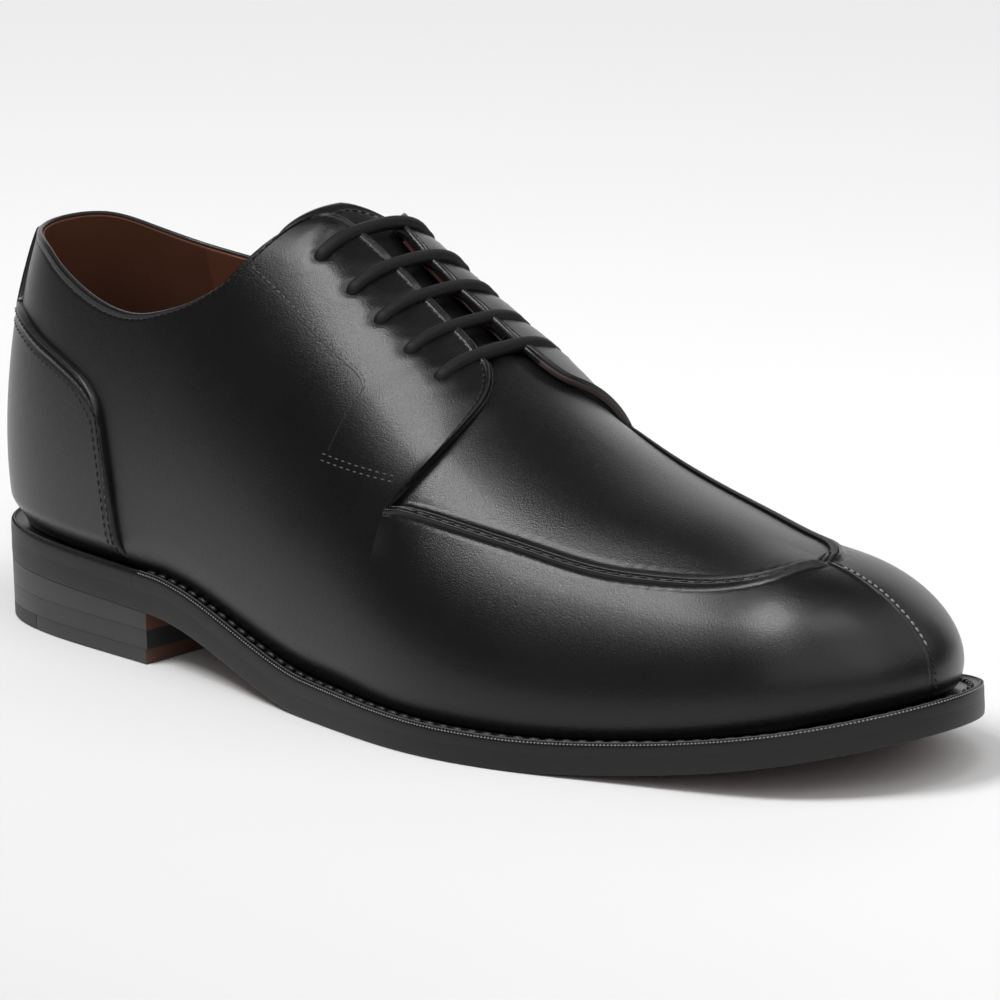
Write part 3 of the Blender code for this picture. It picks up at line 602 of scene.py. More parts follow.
class Paint:
    """One material's nodes, from named settings and sockets."""

    def __init__(self, name: str) -> None:
        """Start a material with its shader."""
        self.material = bpy.data.materials.new(name)
        self.material.use_nodes = True
        self.tree = self.material.node_tree
        self.shader = self.tree.nodes["Principled BSDF"]

    def put(self, target: bpy.types.NodeSocket, value: Value) -> None:
        """Link a socket or set a constant."""
        if isinstance(value, Socket):
            self.tree.links.new(value.link, target)
        else:
            target.default_value = value

    def node(self, kind: str, settings: dict, sockets: dict, output: Union[int, str] = 0) -> Socket:
        """Add a node.

        Args:
            kind: the node's type.
            settings: its properties, set first.
            sockets: values or links of its inputs, by name or number.
            output: the output to take.

        Returns:
            That output.
        """
        node = self.tree.nodes.new(kind)
        for key, value in settings.items():
            setattr(node, key, value)
        for key, value in sockets.items():
            self.put(node.inputs[key], value)
        return Socket(self, node.outputs[output])

    def sum(self, operation: str, first: Value, second: Value) -> Socket:
        """A Math node of two values."""
        return self.node("ShaderNodeMath", {"operation": operation}, {0: first, 1: second})

    def place(self, stretch: Triple = (1.0, 1.0, 1.0)) -> Socket:
        """Object coordinates, stretched along the axes."""
        where = self.node("ShaderNodeTexCoord", {}, {}, "Object")
        return self.node("ShaderNodeVectorMath", {"operation": "MULTIPLY"}, {0: where, 1: stretch})

    def axis(self, where: Socket, name: str) -> Socket:
        """One axis of a vector."""
        return self.node("ShaderNodeSeparateXYZ", {}, {0: where}, name)

    def noise(self, where: Socket, pitch: float, detail: float = 2.0, rough: float = 0.5) -> Socket:
        """Cloudy noise from 0 to 1 with blobs about a pitch in metres wide."""
        return self.node("ShaderNodeTexNoise", {},
                         {"Vector": where, "Scale": 1.0 / pitch, "Detail": detail, "Roughness": rough}, "Fac")

    def cells(self, where: Socket, pitch: float) -> Socket:
        """Distance to the middle of the nearest cell, cells about a pitch in metres wide."""
        return self.node("ShaderNodeTexVoronoi", {"feature": "SMOOTH_F1"},
                         {"Vector": where, "Scale": 1.0 / pitch, "Smoothness": 0.35}, "Distance")

    def step(self, value: Socket, low: float, high: float) -> Socket:
        """Ease from 0 at low to 1 at high."""
        return self.node("ShaderNodeMapRange", {"interpolation_type": "SMOOTHSTEP"},
                         {"Value": value, "From Min": low, "From Max": high})

    def mix(self, share: Value, low: Value, high: Value) -> Socket:
        """Colour between two colours."""
        return self.node("ShaderNodeMix", {"data_type": "RGBA"}, {0: share, 6: low, 7: high}, 2)

    def bump(self, height: Socket, strength: float, depth: float) -> Socket:
        """Normal of a relief of a depth in metres."""
        return self.node("ShaderNodeBump", {}, {"Strength": strength, "Distance": depth, "Height": height})

    def finish(self, **sockets: Value) -> Material:
        """Set the shader's sockets, named with low lines for spaces, and return the material."""
        for key, value in sockets.items():
            self.put(self.shader.inputs[key.replace("_", " ")], value)
        return self.material


def grey(level: float) -> Colour:
    """A neutral colour."""
    return (level, level, level, 1.0)


@dataclass(frozen=True)
class CalfLeather:
    """Black polished calf: fine pebbled grain, faint cloudy wax and a light coat."""

    name: str = "black_calf"
    tone: Colour = (0.0035, 0.0034, 0.0038, 1.0)
    worn: Colour = (0.0060, 0.0058, 0.0063, 1.0)
    roughness: float = 0.29
    cloud: float = 0.06
    grain_pitch: float = 0.00036
    grain_depth: float = 0.00014
    coat: float = 0.08
    cloud_pitch: float = 0.022

    def make(self) -> Material:
        """The material: cells and noise give the grain, a wide noise the wax."""
        paint = Paint(self.name)
        where = paint.place()
        pebble = paint.cells(where, self.grain_pitch)
        fine = paint.noise(where, self.grain_pitch * 0.5, 3.0, 0.6)
        cloud = paint.noise(where, self.cloud_pitch, 3.0)
        height = fine * 0.5 - pebble * 0.6
        return paint.finish(
            Base_Color=paint.mix(cloud, self.tone, self.worn),
            Roughness=cloud * self.cloud + fine * 0.10 + (self.roughness - 0.5 * self.cloud - 0.05),
            Normal=paint.bump(height, 0.5, self.grain_depth),
            Specular_IOR_Level=0.32,
            Coat_Weight=self.coat,
            Coat_Roughness=0.16,
        )


@dataclass(frozen=True)
class LiningLeather:
    """Red brown lining leather, paler in front of its side seam, lighter towards the rim by painted light and
    darker deeper inside and in the slot by painted shade.
    """

    name: str = "lining_calf"
    dark: Colour = (0.030, 0.0095, 0.005, 1.0)
    light: Colour = (0.140, 0.050, 0.025, 1.0)
    # Painted shade: near black red brown for the lining in the shaded slot.
    slot: Colour = (0.022, 0.006, 0.004, 1.0)
    seam_x: float = -0.1147
    seam_width: float = 0.0008
    # Span along x where the painted slot shade comes in, and heights over which the painted rim light rises.
    slot_x: Pair = (-0.075, -0.055)
    rim_z: Pair = (0.062, 0.098)

    def make(self) -> Material:
        """The material: a step at the seam, painted shade stepped in at the slot, painted light rising to the
        rim, cloudy wear and a fine nap.
        """
        paint = Paint(self.name)
        where = paint.place()
        cloud = paint.noise(where, 0.018, 4.0, 0.6)
        nap = paint.noise(where, 0.0006, 3.0, 0.65)
        front = paint.step(paint.axis(where, "X"), self.seam_x, self.seam_x + self.seam_width)
        # Mask of the painted shade in the slot.
        ahead = paint.step(paint.axis(where, "X"), *self.slot_x)
        # Painted light: lighter towards the rim, darker deeper inside.
        rim = paint.step(paint.axis(where, "Z"), *self.rim_z) * (1.0 - ahead)
        share = (front - ahead) * 0.22 + rim * 0.45 + cloud * 0.22 + nap * 0.10
        return paint.finish(
            Base_Color=paint.mix(ahead, paint.mix(share, self.dark, self.light), self.slot),
            Roughness=nap * 0.2 + 0.5,
            Normal=paint.bump(nap, 0.4, 0.00008),
            Specular_IOR_Level=0.3,
        )


@dataclass(frozen=True)
class InkedEdge:
    """Inked and burnished edge of sole leather: satin black with faint layers along it."""

    name: str = "inked_edge"
    tone: Colour = (0.0075, 0.0070, 0.0073, 1.0)
    rubbed: Colour = (0.0140, 0.0130, 0.0132, 1.0)
    roughness: float = 0.44
    shine: float = 0.28

    def make(self) -> Material:
        """The material: noise drawn out along the edge gives the layers."""
        paint = Paint(self.name)
        layers = paint.noise(paint.place((0.05, 0.05, 1.0)), 0.0007, 3.0, 0.6)
        cloud = paint.noise(paint.place(), 0.012, 3.0)
        fine = paint.noise(paint.place(), 0.0004, 2.0)
        return paint.finish(
            Base_Color=paint.mix(layers * 0.6 + cloud * 0.3, self.tone, self.rubbed),
            Roughness=layers * 0.14 + cloud * 0.10 + (self.roughness - 0.10),
            Normal=paint.bump(layers + fine * 0.35, 0.35, 0.00006),
            Specular_IOR_Level=self.shine,
            Coat_Weight=0.04,
            Coat_Roughness=0.25,
        )


@dataclass(frozen=True)
class SoleLeather:
    """Bare sole leather, red brown, with fibres and scuffs."""

    name: str = "sole_leather"
    dark: Colour = (0.050, 0.021, 0.012, 1.0)
    light: Colour = (0.130, 0.062, 0.036, 1.0)

    def make(self) -> Material:
        """The material: fibres drawn out along the shoe over a cloudy tone."""
        paint = Paint(self.name)
        fibre = paint.noise(paint.place((0.25, 1.0, 1.0)), 0.0009, 4.0, 0.65)
        cloud = paint.noise(paint.place(), 0.02, 4.0)
        return paint.finish(
            Base_Color=paint.mix(fibre * 0.5 + cloud * 0.5, self.dark, self.light),
            Roughness=fibre * 0.2 + 0.42,
            Normal=paint.bump(fibre, 0.35, 0.0001),
        )


@dataclass(frozen=True)
class HeelRubber:
    """Black rubber of the heel's tip, dull and finely pitted."""

    name: str = "heel_rubber_black"

    def make(self) -> Material:
        """The material: fine noise pits over a cloudy dust."""
        paint = Paint(self.name)
        pits = paint.noise(paint.place(), 0.0005, 3.0, 0.7)
        cloud = paint.noise(paint.place(), 0.01, 3.0)
        return paint.finish(
            Base_Color=paint.mix(cloud, grey(0.014), grey(0.030)),
            Roughness=pits * 0.15 + 0.52,
            Normal=paint.bump(pits, 0.4, 0.00008),
        )


@dataclass(frozen=True)
class WeltLeather:
    """Black welt whose outer edge is pricked by a wheel: the map runs in millimetres along and across it."""

    name: str = "welt_black"
    prick_pitch: float = 1.05
    prick_start: float = 0.2
    prick_reach: float = 1.3

    def make(self) -> Material:
        """The material: a wave along the welt, kept to its outer edge, presses the pricks."""
        paint = Paint(self.name)
        chart = paint.node("ShaderNodeTexCoord", {}, {}, "UV")
        along = paint.axis(chart, "X")
        across = paint.axis(chart, "Y")
        wave = paint.sum("SINE", along * (2.0 * math.pi / self.prick_pitch), 0.0)
        rim = paint.step(across, self.prick_start, self.prick_start + 0.15)
        rim = rim * (1.0 - paint.step(across, self.prick_reach - 0.2, self.prick_reach))
        fine = paint.noise(paint.place(), 0.0005, 3.0, 0.6)
        cloud = paint.noise(paint.place(), 0.010, 3.0)
        return paint.finish(
            Base_Color=paint.mix(cloud, grey(0.005), grey(0.012)),
            Roughness=fine * 0.16 + cloud * 0.08 + 0.24,
            Normal=paint.bump(wave * rim * 0.5 + fine * 0.25, 0.9, 0.00018),
            Specular_IOR_Level=0.22,
            Coat_Weight=0.04,
            Coat_Roughness=0.2,
        )


@dataclass(frozen=True)
class Thread:
    """Waxed thread with a fine twist."""

    name: str
    tone: Colour
    bright: Colour
    roughness: float = 0.42

    def make(self) -> Material:
        """The material: small noise for the fibres."""
        paint = Paint(self.name)
        fibre = paint.noise(paint.place(), 0.00025, 2.0)
        return paint.finish(
            Base_Color=paint.mix(fibre, self.tone, self.bright),
            Roughness=fibre * 0.15 + (self.roughness - 0.07),
            Normal=paint.bump(fibre, 0.4, 0.00005),
            Specular_IOR_Level=0.3,
        )


@dataclass(frozen=True)
class WaxedCord:
    """Round waxed lace: the map turns once round the cord and runs in cord widths along it."""

    name: str = "waxed_cord"
    strands: float = 8.0
    twist: float = 7.0

    def make(self) -> Material:
        """The material: two crossing waves make the braid."""
        paint = Paint(self.name)
        chart = paint.node("ShaderNodeTexCoord", {}, {}, "UV")
        around = paint.axis(chart, "X") * (math.pi * self.strands)
        along = paint.axis(chart, "Y") * (math.pi * self.twist / 2.0)
        left = paint.sum("SINE", around + along, 0.0)
        right = paint.sum("SINE", around - along, 0.0)
        braid = left * right
        fibre = paint.noise(paint.place(), 0.0003, 3.0, 0.6)
        return paint.finish(
            Base_Color=paint.mix(fibre, grey(0.003), grey(0.010)),
            Roughness=fibre * 0.2 + braid * 0.05 + 0.50,
            Normal=paint.bump(braid * 0.35 + fibre * 0.65, 0.6, 0.00012),
            Specular_IOR_Level=0.22,
        )


@dataclass(frozen=True)
class StudioFloor:
    """Plain pale floor of the studio, a little darker under the key light so that it looks even."""

    name: str = "studio_floor"
    near: float = 0.42
    far: float = 0.78
    span_y: Pair = (-0.7, 0.35)

    def make(self) -> Material:
        """The material: an even paper with a trace of tooth, toned across the shoe."""
        paint = Paint(self.name)
        where = paint.place()
        tooth = paint.noise(where, 0.05, 2.0)
        share = paint.step(paint.axis(where, "Y"), *self.span_y) + tooth * 0.02
        return paint.finish(
            Base_Color=paint.mix(share, grey(self.near), grey(self.far)),
            Roughness=0.85,
            Specular_IOR_Level=0.1,
        )


def made(make: Callable[[], Material]) -> Material:
    """A dataclass field with a material, made along with the others of its set."""
    return field(default_factory=make)


@dataclass
class Finishes:
    """Every material of the shoe, made once."""

    calf: Material = made(CalfLeather().make)
    lining: Material = made(LiningLeather().make)
    edge: Material = made(InkedEdge().make)
    raw: Material = made(InkedEdge(
        "raw_edge", (0.020, 0.014, 0.012, 1.0), (0.060, 0.042, 0.035, 1.0), 0.60).make)
    heel: Material = made(InkedEdge(
        "heel_edge", (0.014, 0.013, 0.0135, 1.0), (0.028, 0.026, 0.026, 1.0), 0.42, 0.45).make)
    sole: Material = made(SoleLeather().make)
    rubber: Material = made(HeelRubber().make)
    welt: Material = made(WeltLeather().make)
    cord: Material = made(WaxedCord().make)
    black_thread: Material = made(Thread("black_thread", grey(0.008), grey(0.020)).make)
    # Grey thread paints glints: the lit upper half of the toe's seam and light ticks along the welt's edge.
    grey_thread: Material = made(Thread("grey_thread", grey(0.13), grey(0.26)).make)
    # Dark grey thread, greyer than the black to paint sheen: on the eyestay and bartack stitches and as the
    # welt's bead line.
    dull_thread: Material = made(Thread("dull_thread", grey(0.04), grey(0.11)).make)
    floor: Material = made(StudioFloor().make)


def dress(piece: bpy.types.Object, slot: Slot, materials: Sequence[Material], *nodes: str) -> None:
    """Give a piece its materials and let it stand for solids of the frame.

    Args:
        piece: the new object.
        slot: not used.
        materials: in the order of the mesh's indices.
        nodes: solids that it replaces.
    """
    for material in materials:
        piece.data.materials.append(material)
    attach(piece, BODY)
    if nodes:
        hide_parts(*nodes)
    stands_for = ", ".join(nodes) or "itself"
    log.info("%s: %d faces, stands for %s", piece.name, len(piece.data.polygons), stands_for)


@dataclass
class Columns:
    """Columns of a side panel: where each starts at the sole and ends on the top line, with its lifts."""

    side: Side
    station: Array
    rise: Array
    foot: Array
    part: Array
    share: Array
    run: Array
    flap: Array
    seam: Array
    panel_speed: Array
    plug_speed: Array
    spine_station: Array

    def cut(self, span: slice) -> "Columns":
        """The columns of a span."""
        kept = {key: value[span] for key, value in vars(self).items() if key != "side"}
        return Columns(side=self.side, **kept)


@dataclass(frozen=True)
class LacePull:
    """Relief that the laces pull into the leather: heights and half widths of bells, in millimetres."""

    bar_depth: float = 1.10
    bar_width: float = 1.8
    bar_start: float = 0.35
    bar_ease: float = 0.3
    ring_height: float = 0.20
    ring_radius: float = 3.2
    ring_width: float = 1.3
    hole_depth: float = 0.45
    hole_width: float = 1.5
    lobe_height: float = 0.30
    lobe_width: float = 3.0
    lobe_shares: tuple[float, ...] = (0.0, 0.4)
    crest_height: float = 0.75
    crest_width: float = 6.5
    crest_span: Pair = (-0.1, 1.15)
    pillow_height: float = 1.6
    pillow_width: float = 5.0
    pillow_at: Pair = (4.00, 80.0)


@dataclass
class Upper:
    """Quarters, flaps, side walls, apron and lining as one closed skin."""

    last: Last
    pull: LacePull = LacePull()
    wall: float = WALL
    slot_lift: float = 0.8
    flap_lift: dict = by_side(2.1, 2.5)
    flap_end: dict = by_side(0.14, 0.06)
    lining_ply: float = 0.5
    lining_start: float = 1.0
    lip_rows: int = 6
    collar_lip: float = -0.7
    slot_lip: float = -0.3
    far_lip: float = 1.6
    far_lip_end: float = 4.75
    fold_radius: float = 0.9
    fold_width: float = 2.5
    fold_step: float = 0.04
    fold_lean: float = 0.34
    collar_lean: float = 0.12
    hand_wave: float = 0.10
    toe_lip: float = 0.28
    toe_groove: float = 0.50
    pucker: float = 0.05
    pucker_pitch: float = 3.4
    hole_stations: tuple[float, ...] = (4.11, 4.41, 4.68, 4.98, 5.28)
    hole_lifts: tuple[float, ...] = (0.8, 0.8, 0.8, 1.0, 1.7)
    hole_rise: dict = by_side(72.1, 68.5)
    slot_rise: float = 86.0
    steps: dict = field(default_factory=lambda: {Part.COLLAR: 110, Part.SLOT: 46, Part.THROAT: 8,
                                                 Part.FLAP_FRONT: 46, Part.APRON: 150})
    broad_rows: int = 34
    plug_rows: int = 20
    lining_rows: int = 16
    least_plug: float = 7.5

    def __post_init__(self) -> None:
        """Lay out the columns of both sides."""
        self.panels = {side: self.columns(side) for side in Side}
        middle = (self.panels[Side.LATERAL].station + self.panels[Side.MEDIAL].station) / 2.0
        for side in Side:
            panel = self.panels[side]
            panel.spine_station = middle
            top = np.full_like(panel.rise, 90.0)
            panel.plug_speed = self.speed(side, panel.station, panel.rise, middle, top)
        self.slot_end = int(np.flatnonzero(self.panels[Side.LATERAL].part == Part.SLOT.value)[-1])

    def speed(self, side: Side, station: Array, rise: Array, far_station: Array, far_rise: Array) -> Array:
        """Millimetres for each unit of the way from a line to another, measured at the first."""
        step = 0.02
        near = self.last.over(side, station, rise, self.wall)[0]
        station = station + (far_station - station) * step
        far = self.last.over(side, station, rise + (far_rise - rise) * step, self.wall)[0]
        return np.linalg.norm(far - near, axis=-1) / step

    def shares(self, part: Part) -> Array:
        """Places of the columns along a stretch, closer together towards the toe seam."""
        even = np.linspace(0.0, 1.0, self.steps[part] + 1)
        if part is not Part.APRON:
            return even
        return np.concatenate([np.linspace(0.0, 0.03, 8)[:-1], np.linspace(0.03, 0.965, 128),
                               np.linspace(0.965, 1.0, 22)[1:]])

    def columns(self, side: Side) -> Columns:
        """Columns of one side, with the lifts of slot, flap and seam along it.

        Args:
            side: side of the shoe.

        Returns:
            The columns from the heel's back to the toe.
        """
        station, rise, foot, part, share, run = [], [], [], [], [], []
        foot_start = 0.0
        length = 0.0
        for name in Part:
            places = self.shares(name)
            line_station, line_rise, line_length = self.last.walk(side, PATTERN[name][side], places)
            first = 0 if name is Part.COLLAR else 1
            t = places[first:]
            station.append(line_station[first:])
            rise.append(line_rise[first:])
            foot.append(foot_start + (FOOT_STATIONS[name] - foot_start) * t)
            part.append(np.full(len(t), name.value))
            share.append(t)
            run.append(length + line_length * t)
            foot_start = FOOT_STATIONS[name]
            length += line_length
        joined = [np.concatenate(values) for values in (station, rise, foot, part, share, run)]
        station, rise, foot, part, share, run = joined
        high = self.flap_lift[side]
        middle = (self.slot_lift + high) / 2.0
        lifts = [self.slot_lift * smooth((share - 0.72) / 0.28),
                 self.slot_lift + (middle - self.slot_lift) * smooth((share - 0.5) / 0.5),
                 middle + (high - middle) * smooth(share), np.full_like(share, high),
                 high * (1.0 - smooth(share / self.flap_end[side]))]
        flap = np.choose(part, lifts)
        seam = np.where(part == Part.APRON.value, smooth(share / 0.04), 0.0)
        panel_speed = self.speed(side, station, rise, foot, np.zeros_like(rise))
        return Columns(side, station, rise, foot, part, share, run, flap, seam,
                       panel_speed, panel_speed, station)

    def hole(self, side: Side, number: int, offset: float) -> Line:
        """Centre of a lace hole at an offset and the direction out of it."""
        return self.last.over(side, self.hole_stations[number], self.hole_rise[side], offset)

    def lace_relief(self, side: Side, points: Array) -> Array:
        """Leather pulled in round the lace holes, pressed under the bars and full between them.

        Each trough, ring and lobe is a bell of the distance from a bar, a hole or the middle between two
        bars. A wide bell follows the line of holes, and one more fills the lateral facing's top.

        Args:
            side: side of the shoe.
            points: points on the outside of the upper.

        Returns:
            Height added at each point.
        """
        pull = self.pull
        height = np.zeros(points.shape[:-1])
        holes, edges = [], []
        for number, station in enumerate(self.hole_stations):
            hole = self.hole(side, number, self.wall)[0]
            edge = self.last.over(side, station, self.slot_rise, self.wall)[0]
            share, beside = self.beside(points, hole, edge, (0.0, 1.0))
            away = np.linalg.norm(points - hole, axis=-1)
            pressed = pull.bar_start + (1.0 - pull.bar_start) * smooth(share / pull.bar_ease)
            height -= pull.bar_depth * pressed * bell(beside / pull.bar_width)
            height += pull.ring_height * bell((away - pull.ring_radius) / pull.ring_width)
            height -= pull.hole_depth * bell(away / pull.hole_width)
            holes.append(hole)
            edges.append(edge)
        for number in range(len(holes) - 1):
            low = (holes[number] + holes[number + 1]) / 2.0
            top = (edges[number] + edges[number + 1]) / 2.0
            for share in pull.lobe_shares:
                middle = low + (top - low) * share
                height += pull.lobe_height * bell(np.linalg.norm(points - middle, axis=-1) / pull.lobe_width)
        beside = self.beside(points, holes[0], holes[-1], pull.crest_span)[1]
        height += pull.crest_height * bell(beside / pull.crest_width)
        if side is Side.LATERAL:
            crown = self.last.over(side, *pull.pillow_at, self.wall)[0]
            height += pull.pillow_height * bell(np.linalg.norm(points - crown, axis=-1) / pull.pillow_width)
        return height

    @staticmethod
    def beside(points: Array, start: Array, end: Array, span: Pair) -> tuple[Array, Array]:
        """Place along a straight line, kept to a span of shares of its length, and distance from it there."""
        way = end - start
        share = np.clip((points - start) @ way / (way @ way), *span)
        return share, np.linalg.norm(points - start - share[..., None] * way, axis=-1)

    def skin(self, panel: Columns, station: Array, rise: Array, offset: Array) -> Array:
        """Points of the outer skin: an offset over the last with the relief of laces and soft hand lasting.

        The hand lasting is a product of two slow sines of the place, eased in above the sole.

        Args:
            panel: columns of the grid.
            station: stations of the grid.
            rise: rises of the grid.
            offset: thickness over the last.

        Returns:
            The grid's points.
        """
        base, out = self.last.over(panel.side, station, rise, offset)
        height = self.lace_relief(panel.side, base)
        x, y, z = base[..., 0], base[..., 1], base[..., 2]
        wave = np.sin(x / 9.3 + 0.6 * np.sin(z / 13.0)) * np.sin(z / 11.0 + y / 17.0 + 0.8)
        height = height + self.hand_wave * wave * smooth((rise - 4.0) / 12.0)
        return base + height[..., None] * out

    @staticmethod
    def up_panel(panel: Columns, v: Array) -> tuple[Array, Array]:
        """Stations and rises at shares of the way from the sole up to the top line."""
        station = panel.foot[:, None] + (panel.station - panel.foot)[:, None] * v
        return station, panel.rise[:, None] * v

    @staticmethod
    def up_plug(panel: Columns, t: Array) -> tuple[Array, Array]:
        """Stations and rises at shares of the way from the top line to the spine."""
        station = panel.station[:, None] + (panel.spine_station - panel.station)[:, None] * t
        return station, panel.rise[:, None] + (90.0 - panel.rise)[:, None] * t

    def toe_seam(self, panel: Columns, v: Array) -> Array:
        """Relief of the split toe's seam: a sunk line with a lip on its outer side, bells of the distance.

        Args:
            panel: columns of the grid.
            v: share of the way up the panel.

        Returns:
            Height for each column and row.
        """
        points = self.last.over(panel.side, *self.up_panel(panel, v), self.wall)[0]
        away = np.linalg.norm(points - points[-1:], axis=-1)
        lip = self.toe_lip if panel.side is Side.LATERAL else 0.0
        ridge = lip * bell((away - 0.8) / 0.6) * smooth(away / 0.4) - self.toe_groove * bell(away / 0.34)
        near = (panel.part == Part.APRON.value)[:, None] & (panel.share[:, None] > 0.5)
        fade = smooth((v - 0.04) / 0.1)
        return np.where(near, ridge * fade, 0.0)

    def wall_points(self, panel: Columns, distance: Array, extra: Array) -> Array:
        """Points at distances from the top line: on the panel where positive, on the plug where negative.

        Args:
            panel: columns of the grid.
            distance: millimetres from the top line, for each column and row.
            extra: offset over the last there.

        Returns:
            The grid's points.
        """
        down = np.clip(distance, 0.0, None) / panel.panel_speed[:, None]
        over = np.clip(-distance, 0.0, None) / np.maximum(panel.plug_speed, self.least_plug)[:, None]
        v = 1.0 - down
        station, rise = self.up_panel(panel, v)
        station = station + (panel.spine_station - panel.station)[:, None] * over
        rise = rise + (90.0 - panel.rise)[:, None] * over
        extra = extra + np.where(distance > 0.0, self.toe_seam(panel, np.clip(v, 0.0, 1.0)), 0.0)
        return self.skin(panel, station, rise, extra)

    def broad(self, panel: Columns) -> Array:
        """The panel from the sole up to the dense rows by its edge."""
        top = 1.0 - FLAP_ROWS[0, 0] / panel.panel_speed
        v = np.linspace(0.0, 1.0, self.broad_rows)[None, :] * top[:, None]
        offset = self.wall + self.flap_at(panel, v) + self.toe_seam(panel, v)
        return self.skin(panel, *self.up_panel(panel, v), offset)

    def flap_at(self, panel: Columns, v: Array) -> Array:
        """Lift of the flap at a share of the way up: eased in, later and later towards its lower end."""
        low_end = np.where(panel.part == Part.FLAP_FRONT.value, smooth(panel.share), 0.0)
        low_end = np.where(panel.part == Part.APRON.value, 1.0, low_end)
        start = (0.30 + 0.38 * low_end)[:, None]
        return panel.flap[:, None] * smooth((v - start) / (1.0 - start))

    def lining(self, panel: Columns) -> Array:
        """The lining of a panel from just below its edge down to the sole."""
        top = 1.0 - self.lining_start / panel.panel_speed
        v = np.linspace(1.0, 0.0, self.lining_rows)[None, :] * top[:, None]
        return self.last.over(panel.side, *self.up_panel(panel, v), 0.0)[0]

    def edge_lift(self, panel: Columns, distance: Array) -> Array:
        """Lift of the flap at a distance from its edge."""
        return self.flap_at(panel, 1.0 - np.clip(distance, 0.0, None) / panel.panel_speed[:, None])

    def fold(self, panel: Columns, distance: Array) -> Array:
        """Height of a folded edge over the leather: a stitch groove, a leaning band and a quarter round.

        Args:
            panel: columns of the grid.
            distance: millimetres from the edge, for each column and row.

        Returns:
            The height for each column and row.
        """
        gain = (self.fold_lean - self.collar_lean) * smooth((panel.share - 0.70) / 0.20)
        collar = panel.part == Part.COLLAR.value
        lean = np.where(collar, self.collar_lean + gain, self.fold_lean)[:, None]
        inside = self.fold_width - distance
        band = smooth(inside / 0.25) * (self.fold_step + lean * inside)
        flat = band - 0.20 * bell((inside + 0.1) / 0.17)
        brink = self.fold_step + lean * (self.fold_width - self.fold_radius)
        thick = self.wall + panel.flap[:, None] + brink
        cosine = np.sqrt(np.clip(1.0 - (1.0 - distance / self.fold_radius) ** 2, 0.0, 1.0))
        half = (thick - self.lining_ply) / 2.0
        return np.where(distance < self.fold_radius, brink - half * (1.0 - cosine), flat)

    def free_edge(self, panel: Columns) -> Array:
        """Rows of a folded edge with a half round over to the lining, whose ply is set a little apart.

        Args:
            panel: columns with a free edge.

        Returns:
            The grid of the edge.
        """
        down = FLAP_ROWS[:SHARED_ROWS, 0]
        turn = np.linspace(0.0, math.pi, 11)
        count = len(panel.station)
        rounded = self.fold_radius * (1.0 - np.sin(turn))
        outer = np.broadcast_to(np.concatenate([down, rounded]), (count, len(down) + len(turn)))
        height = self.wall + self.edge_lift(panel, outer) + self.fold(panel, outer)
        brink = self.wall + panel.flap[:, None] + self.fold(panel, np.full((count, 1), self.fold_radius))
        half = (brink - self.lining_ply) / 2.0
        height[:, len(down):] = self.lining_ply + half * (1.0 + np.cos(turn))
        long_lip = (panel.side is Side.MEDIAL) * smooth((self.far_lip_end - panel.station) / 0.1)
        slot_lip = self.slot_lip + self.far_lip * long_lip
        lip = np.where(panel.part == Part.SLOT.value, slot_lip, self.collar_lip)[:, None]
        lip_away = np.array([0.5, 0.15, 0.0, 0.0, 0.2, 1.0]) - lip * np.array([0.0, 1.0, 1.0, 1.0, 1.0, 0.0])
        lip_high = np.broadcast_to(self.lining_ply * np.array([1.0, 1.0, 0.7, 0.3, 0.0, 0.0]), lip_away.shape)
        distance = np.concatenate([outer, lip_away], 1)
        return self.wall_points(panel, distance, np.concatenate([height, lip_high], 1))

    def front_edge(self, panel: Columns) -> Array:
        """Rows over the flap's piped edge down to the plug, or over the double ridge of the apron's seam.

        Along the throat the folded edge of the slot blends into the flap's rows. Along the start of the apron
        these blend into the seam's, whose ridges and grooves are bells of the distance. Slow and quick sines
        along the seam pucker the leather beside it.

        Args:
            panel: columns from the throat to the toe.

        Returns:
            The grid from the panel to the plug.
        """
        seam_high = sum(high * bell((SEAM_ROWS - at) / width) for high, at, width in SEAM_BELLS)
        share = panel.seam[:, None]
        away, lifted, added = FLAP_ROWS.T
        distance = away * (1.0 - share) + SEAM_ROWS * share
        flap_at = np.broadcast_to(away, distance.shape)
        piped = np.where(panel.part == Part.SLOT.value, 0.0, 1.0)
        piped = np.where(panel.part == Part.THROAT.value, smooth(panel.share), piped)[:, None]
        folded = np.where(lifted == 1.0, self.fold(panel, flap_at), 0.0)
        flap_high = self.edge_lift(panel, flap_at) * lifted + added * piped + folded * (1.0 - piped)
        seam_lift = self.edge_lift(panel, np.broadcast_to(SEAM_ROWS, distance.shape))
        seam_lift = seam_lift * smooth((SEAM_ROWS + 1.5) / 3.0)
        run = panel.run[:, None]
        pucker = self.pucker * np.sin(run * (2.0 * math.pi / self.pucker_pitch))
        pucker = pucker * (0.6 + 0.4 * np.sin(run / 5.3))
        pucker = pucker * (bell((SEAM_ROWS - 2.3) / 1.0) + bell((SEAM_ROWS + 2.4) / 1.1))
        tip = 1.0 - smooth((panel.share[:, None] - 0.965) / 0.03)
        extra = self.wall + flap_high * (1.0 - share) + ((seam_high + pucker) * tip + seam_lift) * share
        return self.wall_points(panel, distance, extra)

    def plug(self, panel: Columns) -> Array:
        """The apron from the last row inside its edge to the spine."""
        first = -SEAM_ROWS[-1] / np.maximum(panel.plug_speed, self.least_plug)
        t = first[:, None] + (1.0 - first)[:, None] * np.linspace(0.0, 1.0, self.plug_rows)[None, :]
        return self.skin(panel, *self.up_plug(panel, t), self.wall)

    def plug_lining(self, panel: Columns) -> Array:
        """The apron's lining from its edge to the spine."""
        t = np.linspace(0.0, 1.0, self.lining_rows)[None, :]
        return self.last.over(panel.side, *self.up_plug(panel, t), 0.0)[0]

